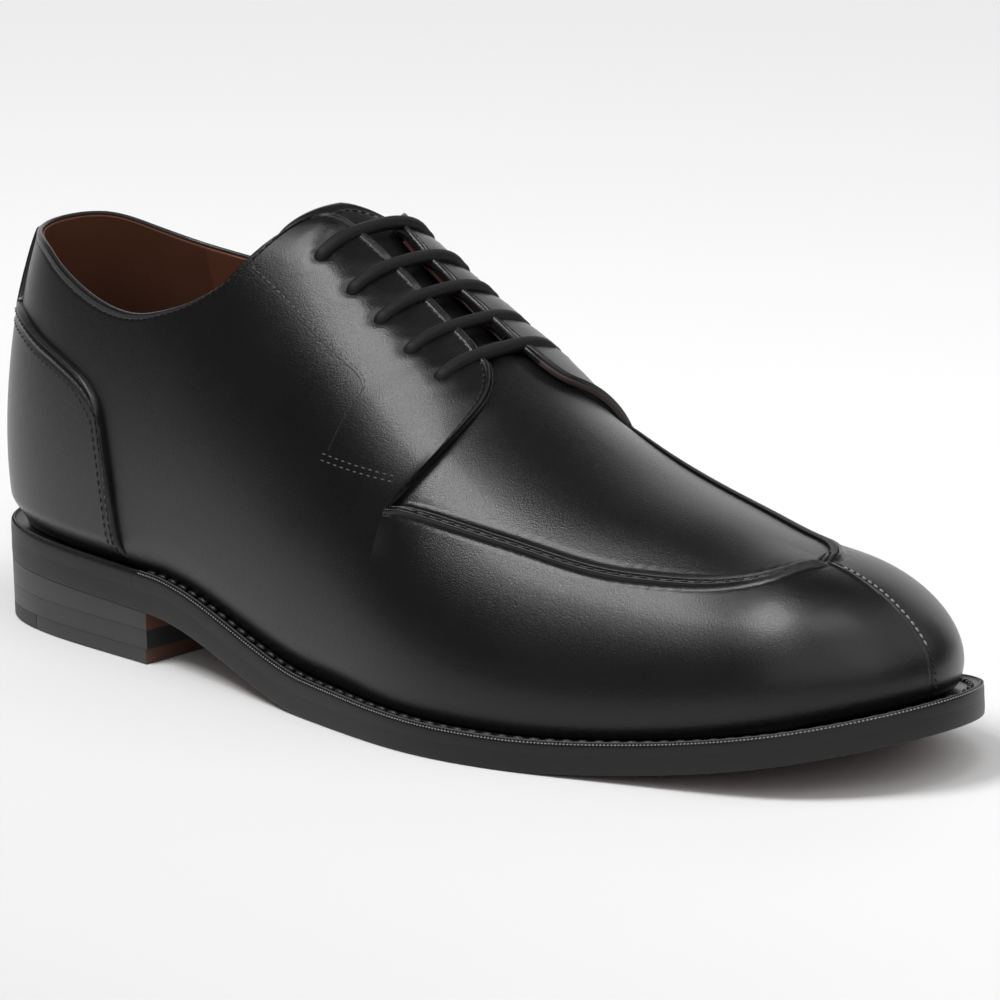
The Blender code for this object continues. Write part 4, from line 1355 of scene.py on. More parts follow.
    def line(self, panel: Columns, distance: float, lift: float) -> Line:
        """A line along the panel at a distance from its edge, with the directions out of it, for stitches.

        Args:
            panel: columns that it runs through.
            distance: millimetres from the top line, negative on the plug.
            lift: height over the wall and the flap.

        Returns:
            Points and unit vectors.
        """
        away = np.full((len(panel.station), 1), distance)
        extra = self.wall + lift + (self.edge_lift(panel, away) if distance > 0.0 else 0.0 * away)
        points = self.wall_points(panel, away, extra)
        further = self.wall_points(panel, away, extra + 1.0)
        return points[:, 0], unit(further - points)[:, 0]

    def build(self, finishes: Finishes) -> bpy.types.Object:
        """Join the grids of both sides into one closed skin and dress it.

        Args:
            finishes: the shoe's materials.

        Returns:
            The upper.
        """
        shell = Shell()
        calf, lining, raw = 0, 1, 2
        for side in Side:
            rear = self.panels[side].cut(np.s_[:self.slot_end + 1])
            front = self.panels[side].cut(np.s_[self.slot_end:])
            rear_outer = shell.add(np.concatenate([self.broad(rear)[:, :-1], self.free_edge(rear)], 1))
            rear_inner = shell.add(self.lining(rear))
            front_outer = shell.add(np.concatenate([self.broad(front)[:, :-1], self.front_edge(front)[:, :-1],
                                                    self.plug(front)], 1))
            front_inner = shell.add(np.concatenate([self.plug_lining(front)[:, :0:-1],
                                                    self.lining(front)], 1))
            broad = self.broad_rows - 1
            rear_kinds = np.full((1, rear_outer.shape[1] - 1), calf)
            rear_kinds[:, -self.lip_rows:] = lining
            front_kinds = np.full((len(front.part) - 1, front_outer.shape[1] - 1), calf)
            flap = np.flatnonzero(front.part == Part.FLAP_FRONT.value)
            if side is Side.MEDIAL:
                front_kinds[flap[0]:flap[-1], broad + CUT_ROWS[0]:broad + CUT_ROWS[1]] = raw
            shell.sheet(rear_outer, rear_kinds)
            shell.sheet(rear_inner, lining)
            shell.sheet(front_outer, front_kinds)
            shell.sheet(front_inner, lining)
            shell.band(rear_outer[:, -1], rear_inner[:, 0], lining)
            shell.band(rear_outer[:, 0], rear_inner[:, -1], calf)
            shell.band(front_outer[:, 0], front_inner[:, -1], calf)
            apart = broad + SHARED_ROWS - 1
            plug_lining = front_inner[0, :self.lining_rows - 1]
            loop = np.concatenate([rear_outer[-1, apart:], rear_inner[-1, :1], plug_lining[::-1],
                                   front_outer[0, apart:][::-1]])
            shell.lid(loop, calf)
        piece = shell.build("upper_skin", self.last, 50.0)
        dress(piece, Slot.UPPER, (finishes.calf, finishes.lining, finishes.raw), "upper")
        return piece


class Drape:
    """Lays lines of stitches on the surface of a finished piece."""

    def __init__(self, piece: bpy.types.Object, last: Last) -> None:
        """Keep the piece's faces for rays."""
        work = bmesh.new()
        work.from_mesh(piece.data)
        self.tree = BVHTree.FromBMesh(work)
        work.free()
        self.last = last

    def lay(self, line: Line, lift: float) -> Line:
        """Move a line along its directions on to the surface, found by a ray from outside.

        Args:
            line: points and directions out.
            lift: height over the surface.

        Returns:
            The moved points and the same directions.
        """
        points, outs = line
        reach = 6.0
        starts = self.last.place(points + reach * outs)
        hits = [self.tree.ray_cast(Vector(a), Vector(-b), 2.0 * reach * MM)[3] for a, b in zip(starts, outs)]
        depth = np.array([reach if hit is None else hit / MM for hit in hits])
        return points + (reach - depth + lift)[:, None] * outs, outs


def rounded_patch(shell: Shell, grid: Callable[[Array], Array], inner: float, outer: float, radius: float,
                  extra: Callable[[Array], Array], seated: bool = False) -> None:
    """A patch of leather with rounded edges: a quarter circle of the edge's distance gives its thickness.

    Args:
        shell: takes the faces.
        grid: points of the patch for an offset, a number or one for each point.
        inner: offset of the lower face.
        outer: offset of the upper face.
        radius: how far in the rounding goes.
        extra: height added by the distance from the edge.
        seated: whether the lower edge goes into the sole, so that it has none of the added height.
    """
    middle = grid((inner + outer) / 2.0)
    down = np.concatenate([np.zeros((1, middle.shape[1])),
                           np.cumsum(np.linalg.norm(np.diff(middle, axis=0), axis=-1), 0)], 0)
    across = np.concatenate([np.zeros((middle.shape[0], 1)),
                             np.cumsum(np.linalg.norm(np.diff(middle, axis=1), axis=-1), 1)], 1)
    free = np.minimum(np.minimum(down, down[-1:] - down), across[:, -1:] - across)
    away = np.minimum(free, across)
    share = np.clip(1.0 - away / radius, 0.0, 1.0)
    relief = extra(free if seated else away) * (1.0 - share)
    top = inner + (outer - inner) * np.sqrt(1.0 - share ** 2) + relief
    shell.sheet(shell.add(grid(top)), 0)
    shell.sheet(shell.add(grid(inner)), 1)


def edge_spread(count: int, power: float = 2.2) -> Array:
    """Places from 0 to 1, closer together at both ends."""
    t = np.linspace(-1.0, 1.0, count)
    return 0.5 + 0.5 * np.sign(t) * (1.0 - (1.0 - np.abs(t)) ** power)


@dataclass
class Counter:
    """Counter round the heel with a tail up the back seam, its edge rolled and sewn with two rows."""

    last: Last
    inner: float = 1.3
    outer: float = 2.8
    foot: float = 0.7
    tail_half: float = 0.66
    tail_flare: float = 1.02
    tail_rise: float = 42.2
    front: dict = field(default_factory=lambda: {1: 2.77, 7: 2.76, 12: 2.735, 16.5: 2.69, 19: 2.66, 21: 2.63})
    top: dict = field(default_factory=lambda: {0.0: 30.8, 0.8: 30.8, 1.2: 30.6, 1.55: 29.7, 1.86: 28.3,
                                               2.06: 27.5, 2.23: 26.6, 2.44: 25.2, 2.63: 23.8})
    reach: float = 2.63
    edge_radius: float = 0.9
    rows: int = 64
    station_per_mm: float = 0.028
    tail_station_per_mm: float = 0.05
    rise_per_mm: float = 0.95
    corner_station: float = 0.24
    corner_drop: float = 3.2

    def at(self, across: Array, up: Array, inset: float = 0.0) -> tuple[Array, Array]:
        """Station and rise for a place across the heel and a share of the height.

        The front edge leans by a curve of the rise. The top is the body's curve, raised to the tail by an
        ease and brought down to the front edge by a quarter circle.

        Args:
            across: stations, negative on the medial side.
            up: share of the height.
            inset: millimetres inside the free edge.

        Returns:
            Stations and rises.
        """
        reach = self.reach - inset * self.station_per_mm
        body = table_curve(self.top)(np.abs(across))
        flank = inset * self.tail_station_per_mm
        tail = smooth((self.tail_flare - flank - np.abs(across)) / (self.tail_flare - self.tail_half))
        top = body + (self.tail_rise - body) * tail - inset * self.rise_per_mm
        turn = np.clip((np.abs(across) - reach + self.corner_station) / self.corner_station, 0.0, 1.0)
        top = top - self.corner_drop * (1.0 - np.sqrt(1.0 - turn ** 2))
        rise = self.foot + (top - self.foot) * up
        lean = table_curve(self.front)(rise) - self.reach
        return across + lean * (across / self.reach) ** 3, rise

    def places(self) -> Array:
        """Places across the heel, closer together at the tail's flanks and at the ends."""
        back, flank, body = 0.5, 1.1, 2.35
        end = body + (self.reach - body) * np.sin(np.linspace(0.0, math.pi / 2, 30))
        half = np.concatenate([np.linspace(0.0, back, 14), np.linspace(back, flank, 48)[1:],
                               np.linspace(flank, body, 50)[1:], end[1:]])
        return np.concatenate([-half[:0:-1], half])

    def edge_line(self, inset: float) -> Line:
        """Line inside the free edge, up one front, along the top and down the other, with directions out."""
        reach = self.reach - inset * self.station_per_mm
        up = np.linspace(0.05, 1.0, 50)
        low = self.at(np.full(50, -reach), up, inset)
        across = reach * np.sin(np.linspace(-math.pi / 2, math.pi / 2, 500))
        high = self.at(across, np.full(500, 1.0), inset)
        far = self.at(np.full(50, reach), up[::-1], inset)
        station, rise = (np.concatenate([low[k], high[k], far[k]]) for k in (0, 1))
        return self.last.around(station, rise, self.outer)

    def build(self, finishes: Finishes) -> bpy.types.Object:
        """Make and dress the counter."""
        station, rise = self.at(self.places()[:, None], edge_spread(self.rows)[None, :])

        def grid(offset: Array) -> Array:
            """Points of the counter at an offset."""
            return self.last.around(station, rise, offset)[0]

        def roll(away: Array) -> Array:
            """A rolled edge with a groove for each row of stitches."""
            return (0.24 * bell((away - 0.8) / 0.5) + 0.20 * bell((away - 2.2) / 0.7)
                    - 0.22 * bell((away - 1.4) / 0.3) - 0.20 * bell((away - 3.1) / 0.3))

        shell = Shell()
        rounded_patch(shell, grid, self.inner, self.outer, self.edge_radius, roll, seated=True)
        piece = shell.build("counter_overlay", self.last, 60.0)
        dress(piece, Slot.UPPER, (finishes.calf, finishes.calf), "counter")
        return piece


@dataclass
class Tongue:
    """Tongue under the slot with a rounded top."""

    last: Last
    thick: float = 1.5
    drop: float = 0.7
    crest: float = 0.6
    sink: float = 1.6
    front: float = 5.62
    edge_radius: float = 0.9
    rows: int = 56
    half_columns: int = 26
    tops: dict = by_side({0.0: 3.88, 0.15: 3.77, 0.35: 3.745, 0.65: 3.775, 1.0: 3.80},
                         {0.0: 4.18, 0.30: 4.06, 0.60: 3.96, 0.85: 3.86, 1.0: 3.80})
    edge: dict = field(default_factory=lambda: {0.0: 62.0, 0.25: 57.0, 0.70: 60.0, 1.0: 68.0})

    def half(self, side: Side, along: Array, across: Array, offset: Array) -> Line:
        """Points of one half: along from the top to the front, across from its edge to the spine."""
        edge = table_curve(self.edge)(along)
        top = table_curve(self.tops[side])(across)
        station = top + (self.front - top) * along
        offset = offset + self.crest - self.sink * smooth((along - 0.04) / 0.2)
        return self.last.over(side, station, edge + (90.0 - edge) * across, offset)

    def grid(self, offset: Array) -> Array:
        """Points of the whole tongue at an offset."""
        count = self.half_columns
        along = edge_spread(self.rows, 1.7)[:, None]
        across = np.linspace(0.0, 1.0, count)[None, :] ** 1.3
        offset = np.broadcast_to(offset, (self.rows, 2 * count - 1))
        lateral = self.half(Side.LATERAL, along, across, offset[:, :count])[0]
        medial = self.half(Side.MEDIAL, along, across, offset[:, :count - 2:-1])[0]
        return np.concatenate([lateral, medial[:, -2::-1]], 1)

    def top_line(self, inset: float) -> Line:
        """Line of stitches below the tongue's top edge with directions out."""
        across = np.linspace(0.03, 1.0, 40)
        along = np.full_like(across, inset)
        lateral, lateral_out = self.half(Side.LATERAL, along, across, -self.drop)
        medial, medial_out = self.half(Side.MEDIAL, along, across, -self.drop)
        return (np.concatenate([lateral, medial[-2::-1]]), np.concatenate([lateral_out, medial_out[-2::-1]]))

    def build(self, finishes: Finishes) -> bpy.types.Object:
        """Make and dress the tongue: calf on top, lining underneath."""
        def roll(away: Array) -> Array:
            """A padded edge with a stitch groove."""
            return 0.25 * bell((away - 1.5) / 1.0) - 0.15 * bell((away - 2.8) / 0.35)

        shell = Shell()
        rounded_patch(shell, self.grid, -self.drop - self.thick, -self.drop, self.edge_radius, roll)
        piece = shell.build("tongue_leather", self.last, 60.0)
        dress(piece, Slot.UPPER, (finishes.calf, finishes.lining), "tongue")
        return piece


@dataclass
class Laces:
    """Five straight bars of round cord through the holes."""

    upper: Upper
    radius: float = 1.68
    edge_rise: float = 85.5
    lifts: dict = by_side((0.4, 0.55, 0.5, 0.15, -0.4), (-0.7, -0.3, 0.1, 0.1, -0.4))
    shares: tuple[float, ...] = (0.0, 0.14, 0.34, 0.62, 1.0)
    tail: float = 0.3
    end_round: float = 0.8
    rings: int = 96
    sides: int = 20

    def path(self, number: int) -> Array:
        """Line of one bar: out of a hole, over the facing, straight across the slot and into the far hole.

        Args:
            number: the bar, from the top.

        Returns:
            Points of a smooth curve through the route.
        """
        face = self.upper.wall + self.upper.hole_lifts[number]
        sides = {}
        for side in Side:
            foot, out = self.upper.hole(side, number, 0.0)
            low = self.upper.hole_rise[side]
            rise = low + (self.edge_rise - low) * np.array(self.shares)
            heights = face + np.array(self.lifts[side])
            over = self.upper.last.over(side, self.upper.hole_stations[number], rise, heights)[0]
            sides[side] = np.concatenate([(foot + self.tail * out)[None], over])
        knots = np.concatenate([sides[Side.LATERAL], sides[Side.MEDIAL][::-1]])
        run = arc_lengths(knots)
        fine = np.linspace(0.0, run[-1], self.rings)
        return np.stack([open_spline(run, knots[:, k])(fine) for k in range(3)], -1)

    def tube(self, path: Array, shell: Shell) -> None:
        """A round cord along a path: circles across it, with rounded ends.

        Args:
            path: points of the cord's line.
            shell: takes the faces.
        """
        ahead = unit(np.gradient(path, axis=0))
        first = unit(np.cross(ahead, np.array([1.0, 0.0, 0.2])))
        second = np.cross(ahead, first)
        angle = np.linspace(0.0, 2.0 * math.pi, self.sides + 1)
        run = arc_lengths(path)
        from_end = np.minimum(run, run[-1] - run)
        radius = self.radius * np.sqrt(1.0 - np.clip(1.0 - from_end / self.end_round, 0.0, 1.0) ** 2)
        ring = np.cos(angle)[None, :, None] * first[:, None] + np.sin(angle)[None, :, None] * second[:, None]
        points = path[:, None] + radius[:, None, None] * ring
        numbers = shell.add(points[:, :-1])
        turn, along = angle[None, :] / (2.0 * math.pi), run[:, None] / (2.0 * self.radius)
        chart = np.stack(np.broadcast_arrays(turn, along), -1)
        shell.sheet(np.concatenate([numbers, numbers[:, :1]], 1), 0, chart)

    def build(self, finishes: Finishes) -> None:
        """Make and dress each bar."""
        for number in range(len(self.upper.hole_stations)):
            shell = Shell()
            self.tube(self.path(number), shell)
            piece = shell.build("lace_cord_%d" % (number + 1), self.upper.last, 80.0)
            dress(piece, Slot.CORD, (finishes.cord,), "lace_bar_%d" % (number + 1))


@dataclass
class Sole:
    """Outsole, welt, rand and heel stack as profiles carried round the plan outline.

    A profile's rows are a setback from the sole's edge in millimetres and a share of the layer's height.
    """

    last: Last
    turns: int = 880
    heel_turns: int = 240
    welt_turns: int = 700
    welt_inside: float = 5.0
    welt_end_x: float = 70.0
    gap: float = 0.01
    top_piece: float = 3.6
    lower_lift_top: float = 8.3
    rubber_split_x: float = 28.0
    rubber_gap: float = 0.25
    stitch_inset: float = 3.0
    sharp: float = 35.0
    outsole_rows: Rows = ((3.0, 1.0), (0.5, 1.0), (0.0, 1.0), (-0.03, 0.85), (-0.06, 0.65), (-0.07, 0.45),
                          (-0.05, 0.28), (0.0, 0.13), (0.03, 0.04), (0.14, 0.0), (3.0, 0.0))
    lift_rows: Rows = ((4.0, 1.0), (0.06, 1.0), (0.015, 0.992), (0.0, 0.97), (0.0, 0.5), (0.0, 0.03),
                       (0.015, 0.008), (0.06, 0.0), (4.0, 0.0))
    top_piece_rows: Rows = ((0.06, 1.0), (0.015, 0.992), (0.0, 0.97), (0.0, 0.5), (0.0, 0.05), (0.03, 0.015),
                            (0.14, 0.0))
    edge_rows: Rows = ((0.5, 0.0), (0.0, 0.0), (-0.02, 0.30), (0.0, 0.62))
    bead_rows: Rows = ((0.05, 0.72), (0.12, 0.84), (0.26, 0.90), (0.42, 0.86), (0.50, 0.80), (0.58, 0.86),
                       (0.70, 0.97), (0.90, 1.02), (1.12, 0.98), (1.25, 0.86), (1.6, 0.82))
    groove_rows: Rows = ((-0.7, 0.80), (0.0, 0.72), (0.7, 0.80))

    def ring(self, turn: Array, setback: float) -> Array:
        """Plan outline a setback inside the sole's edge."""
        return self.last.outline(turn, self.last.edge_reach(turn) - setback)

    def layer(self, shell: Shell, turn: Array, profile: Rows, low: Curve, high: Curve, finish: Sequence[int],
              ends: Sequence[int]) -> None:
        """One layer: a profile carried round the edge, closed above and below by lines across the shoe.

        Args:
            shell: takes the faces.
            turn: places round the shoe, the same on both sides of the heel's back.
            profile: rows of setback and share of the height, from the top's inner row to the bottom's.
            low: height of the underside by x.
            high: height of the top by x.
            finish: material index of each band between rows, then of the top and of the underside.
            ends: material indices of a straight cut at the first and last turn, or none for a whole loop.
        """
        rings = []
        for setback, share in profile:
            points = self.ring(turn, setback)
            if ends:
                points[[0, -1], 0] = points[:, 0].max()
            points[:, 2] = low(points[:, 0]) + (high(points[:, 0]) - low(points[:, 0])) * share
            rings.append(shell.add(points))
        for first, second, kind in zip(rings, rings[1:], finish):
            shell.band(first, second, kind)
        half = len(turn) // 2 + 1
        for loop, kind in ((rings[0], finish[-2]), (rings[-1], finish[-1])):
            pair = np.stack([loop[half - 1:], loop[half - 1::-1]], 1)
            shell.sheet(pair, kind)
        if ends:
            shell.sheet(np.stack(rings)[:, [0, -1]], ends[0])

    def whole_turn(self) -> Array:
        """Places once round the shoe, with the heel's back in the middle and the toe at both ends."""
        return np.linspace(-TOE, TOE, self.turns + 1)

    def heel_turn(self, x: float) -> Array:
        """Places round the heel as far as a distance from its back, the same on both sides."""
        turn = np.linspace(0.5, 5.0, 4001)
        lateral = float(np.interp(x, self.ring(turn, 0.0)[:, 0], turn))
        return np.linspace(-lateral, lateral, self.heel_turns + 1)

    def build_outsole(self, finishes: Finishes) -> None:
        """Outsole: inked edge with a soft bulge and a bare underside."""
        shell = Shell()
        inked, bare = 0, 1
        finish = (inked,) * (len(self.outsole_rows) - 2) + (bare, inked, bare)
        self.layer(shell, self.whole_turn(), self.outsole_rows, self.last.sole_bottom, self.last.outsole_top,
                   finish, ())
        piece = shell.build("outsole_leather", self.last, self.sharp)
        dress(piece, Slot.EDGE, (finishes.edge, finishes.sole), "outsole")

    def level(self, height: float) -> Curve:
        """Flat height at every x."""
        def at(x: Array) -> Array:
            """The height."""
            return np.full_like(x, height)
        return at

    def heel_seat(self, x: Array) -> Array:
        """Top of the heel stack under the outsole."""
        return self.last.sole_bottom(x) - self.gap

    def build_heel(self, finishes: Finishes) -> None:
        """Heel lifts and top piece: inked sides, bare leather on the breast, rubber at the back."""
        inked, bare = 0, 1
        finish = (inked,) * (len(self.lift_rows) + 1)
        middle, top = self.lower_lift_top, self.top_piece
        stack = (finishes.heel, finishes.sole)
        layers = (
            ("heel_lift_top", "heel_lift_upper", self.last.breast_x, self.level(middle + self.gap),
             self.heel_seat, bare, Slot.EDGE, stack),
            ("heel_lift_low", "heel_lift_lower", self.last.breast_x, self.level(top + self.gap),
             self.level(middle), inked, Slot.EDGE, stack),
            ("heel_tip_rubber", "heel_rubber_tip", self.rubber_split_x, self.level(0.0),
             self.level(top), inked, Slot.RUBBER, (finishes.rubber,)),
        )
        for name, node, front_x, low, high, breast, slot, materials in layers:
            shell = Shell()
            self.layer(shell, self.heel_turn(front_x), self.lift_rows, low, high, finish, (breast,))
            dress(shell.build(name, self.last, self.sharp), slot, materials, node)
        self.build_top_piece(finishes)

    def build_top_piece(self, finishes: Finishes) -> None:
        """Front of the heel's top piece: a plate from the rubber to the breast with softened side edges."""
        shell = Shell()
        x_rows = np.linspace(self.rubber_split_x + self.rubber_gap, self.last.breast_x, 90)
        rows = self.top_piece_rows
        lines = []
        for sign in (1.0, -1.0):
            for setback, share in (rows if sign > 0.0 else rows[::-1]):
                edge = self.ring(np.linspace(0.5, 3.6, 600) * sign, setback)
                y = np.interp(x_rows, edge[:, 0], edge[:, 1])
                lines.append(np.stack([x_rows, y, np.full_like(x_rows, share * self.top_piece)], -1))
        numbers = shell.add(np.stack(lines, 0))
        kinds = np.zeros((len(lines), 1), int)
        kinds[len(rows) - 1] = 1
        shell.sheet(np.concatenate([numbers, numbers[:1]], 0), kinds)
        shell.lid(numbers[:, 0], 1)
        shell.lid(numbers[:, -1], 1)
        piece = shell.build("heel_top_leather", self.last, self.sharp)
        dress(piece, Slot.EDGE, (finishes.heel, finishes.sole), "heel_top_piece")

    def rim(self, name: str, node: str, turn: Array, finishes: Finishes) -> None:
        """Welt or rand: a strip on the outsole with two fine beads at its edge and a groove for the stitches.

        Args:
            name: the piece's name.
            node: the solid that it replaces.
            turn: places round the shoe.
            finishes: the shoe's materials.
        """
        inner = -1.0
        groove = tuple((self.stitch_inset + setback, share) for setback, share in self.groove_rows)
        rows = ((inner, 0.0),) + self.edge_rows + self.bead_rows + groove + ((inner, 0.82),)
        shell = Shell()
        lines = []
        charts = []
        for setback, share in rows:
            edge = self.last.edge_reach(turn) - setback
            reach = np.full_like(turn, -self.welt_inside) if setback == inner else edge
            points = self.last.outline(turn, reach)
            low = self.last.outsole_top(points[:, 0]) + self.gap
            high = self.last.feather_z(points[:, 0]) - 0.1
            points[:, 2] = low + (high - low) * share
            lines.append(points)
            charts.append(np.stack([arc_lengths(points), np.full_like(turn, abs(setback))], -1))
        numbers = shell.add(np.stack(lines, 0))
        chart = np.stack(charts, 0)
        kinds = np.zeros((len(rows), 1), int)
        kinds[:len(self.edge_rows) + 1] = 1
        shell.sheet(np.concatenate([numbers, numbers[:1]], 0), kinds, np.concatenate([chart, chart[:1]], 0))
        shell.lid(numbers[:, 0])
        shell.lid(numbers[:, -1])
        piece = shell.build(name, self.last, 60.0)
        dress(piece, Slot.WELT, (finishes.welt, finishes.edge), node)

    def rim_ends(self) -> float:
        """Turn at which the welt meets the rand."""
        turn = np.linspace(1.0, 5.0, 4001)
        return float(np.interp(self.welt_end_x, self.last.feather_x(turn), turn))

    def stitch_line(self, inset: float, drop: float) -> Line:
        """Line along the welt at an inset from its edge and a drop below its top, with directions out."""
        end = self.rim_ends() + 0.05
        turn = np.linspace(end, ROUND - end, 1200)
        points = self.last.outline(turn, self.last.edge_reach(turn) - inset)
        points[:, 2] = self.last.feather_z(points[:, 0]) - drop
        out = np.zeros_like(points)
        out[:, 2] = 1.0
        return points, out

    def build(self, finishes: Finishes) -> None:
        """Make and dress every layer."""
        self.build_outsole(finishes)
        self.build_heel(finishes)
        end = self.rim_ends()
        rand_end = end - 0.002
        self.rim("welt_strip", "welt", np.linspace(end, ROUND - end, self.welt_turns), finishes)
        self.rim("rand_strip", "heel_rand", np.linspace(-rand_end, rand_end, self.heel_turns), finishes)


@dataclass(frozen=True)
class StitchKind:
    """One sort of stitch: spacing, length, radius and how far it tilts across its row."""

    pitch: float
    length: float
    radius: float
    tilt: float = 0.0


@dataclass
class Stitching:
    """Rows of stitches, each stitch a small capsule half sunk in the leather."""

    last: Last
    rings: int = 5
    sides: int = 6

    def row(self, shell: Shell, line: Line, kind: StitchKind) -> None:
        """Stitches along a line: capsules at even lengths, turned to the line and the leather.

        Args:
            shell: takes the faces.
            line: points and directions out.
            kind: the sort of stitch.
        """
        points, outs = line
        run = arc_lengths(points)
        count = max(int(run[-1] / kind.pitch), 1)
        places = (np.arange(count) + 0.5) * run[-1] / count
        at = along_line(points, places)
        out = unit(np.stack([np.interp(places, run, outs[:, k]) for k in range(3)], -1))
        ahead = unit(along_line(points, np.minimum(places + 0.3, run[-1])) - along_line(points, places - 0.3))
        side = unit(np.cross(out, ahead))
        ahead = unit(ahead + kind.tilt * side)
        side = unit(np.cross(out, ahead))
        t = np.linspace(-1.0, 1.0, self.rings)
        girth = kind.radius * np.sqrt(np.clip(1.0 - np.abs(t) ** 2.6, 0.0, 1.0))
        angle = np.linspace(0.0, 2.0 * math.pi, self.sides, endpoint=False)
        local_side = girth[:, None] * np.cos(angle)
        local_out = girth[:, None] * np.sin(angle)
        local_along = np.broadcast_to((0.5 * kind.length * t)[:, None], local_side.shape)
        grid = np.broadcast_to(at[:, None, None], (count,) + local_side.shape + (3,))
        for local, axis in ((local_along, ahead), (local_side, side), (local_out, out)):
            grid = grid + local[None, ..., None] * axis[:, None, None]
        numbers = shell.add(grid)
        shell.sheet(np.concatenate([numbers, numbers[:, :, :1]], 2))

    def build(self, name: str, rows: Sequence[tuple[Line, StitchKind]], slot: Slot,
              material: Material) -> None:
        """Make one piece of several rows and dress it."""
        shell = Shell()
        for line, kind in rows:
            self.row(shell, line, kind)
        dress(shell.build(name, self.last, 80.0), slot, (material,))


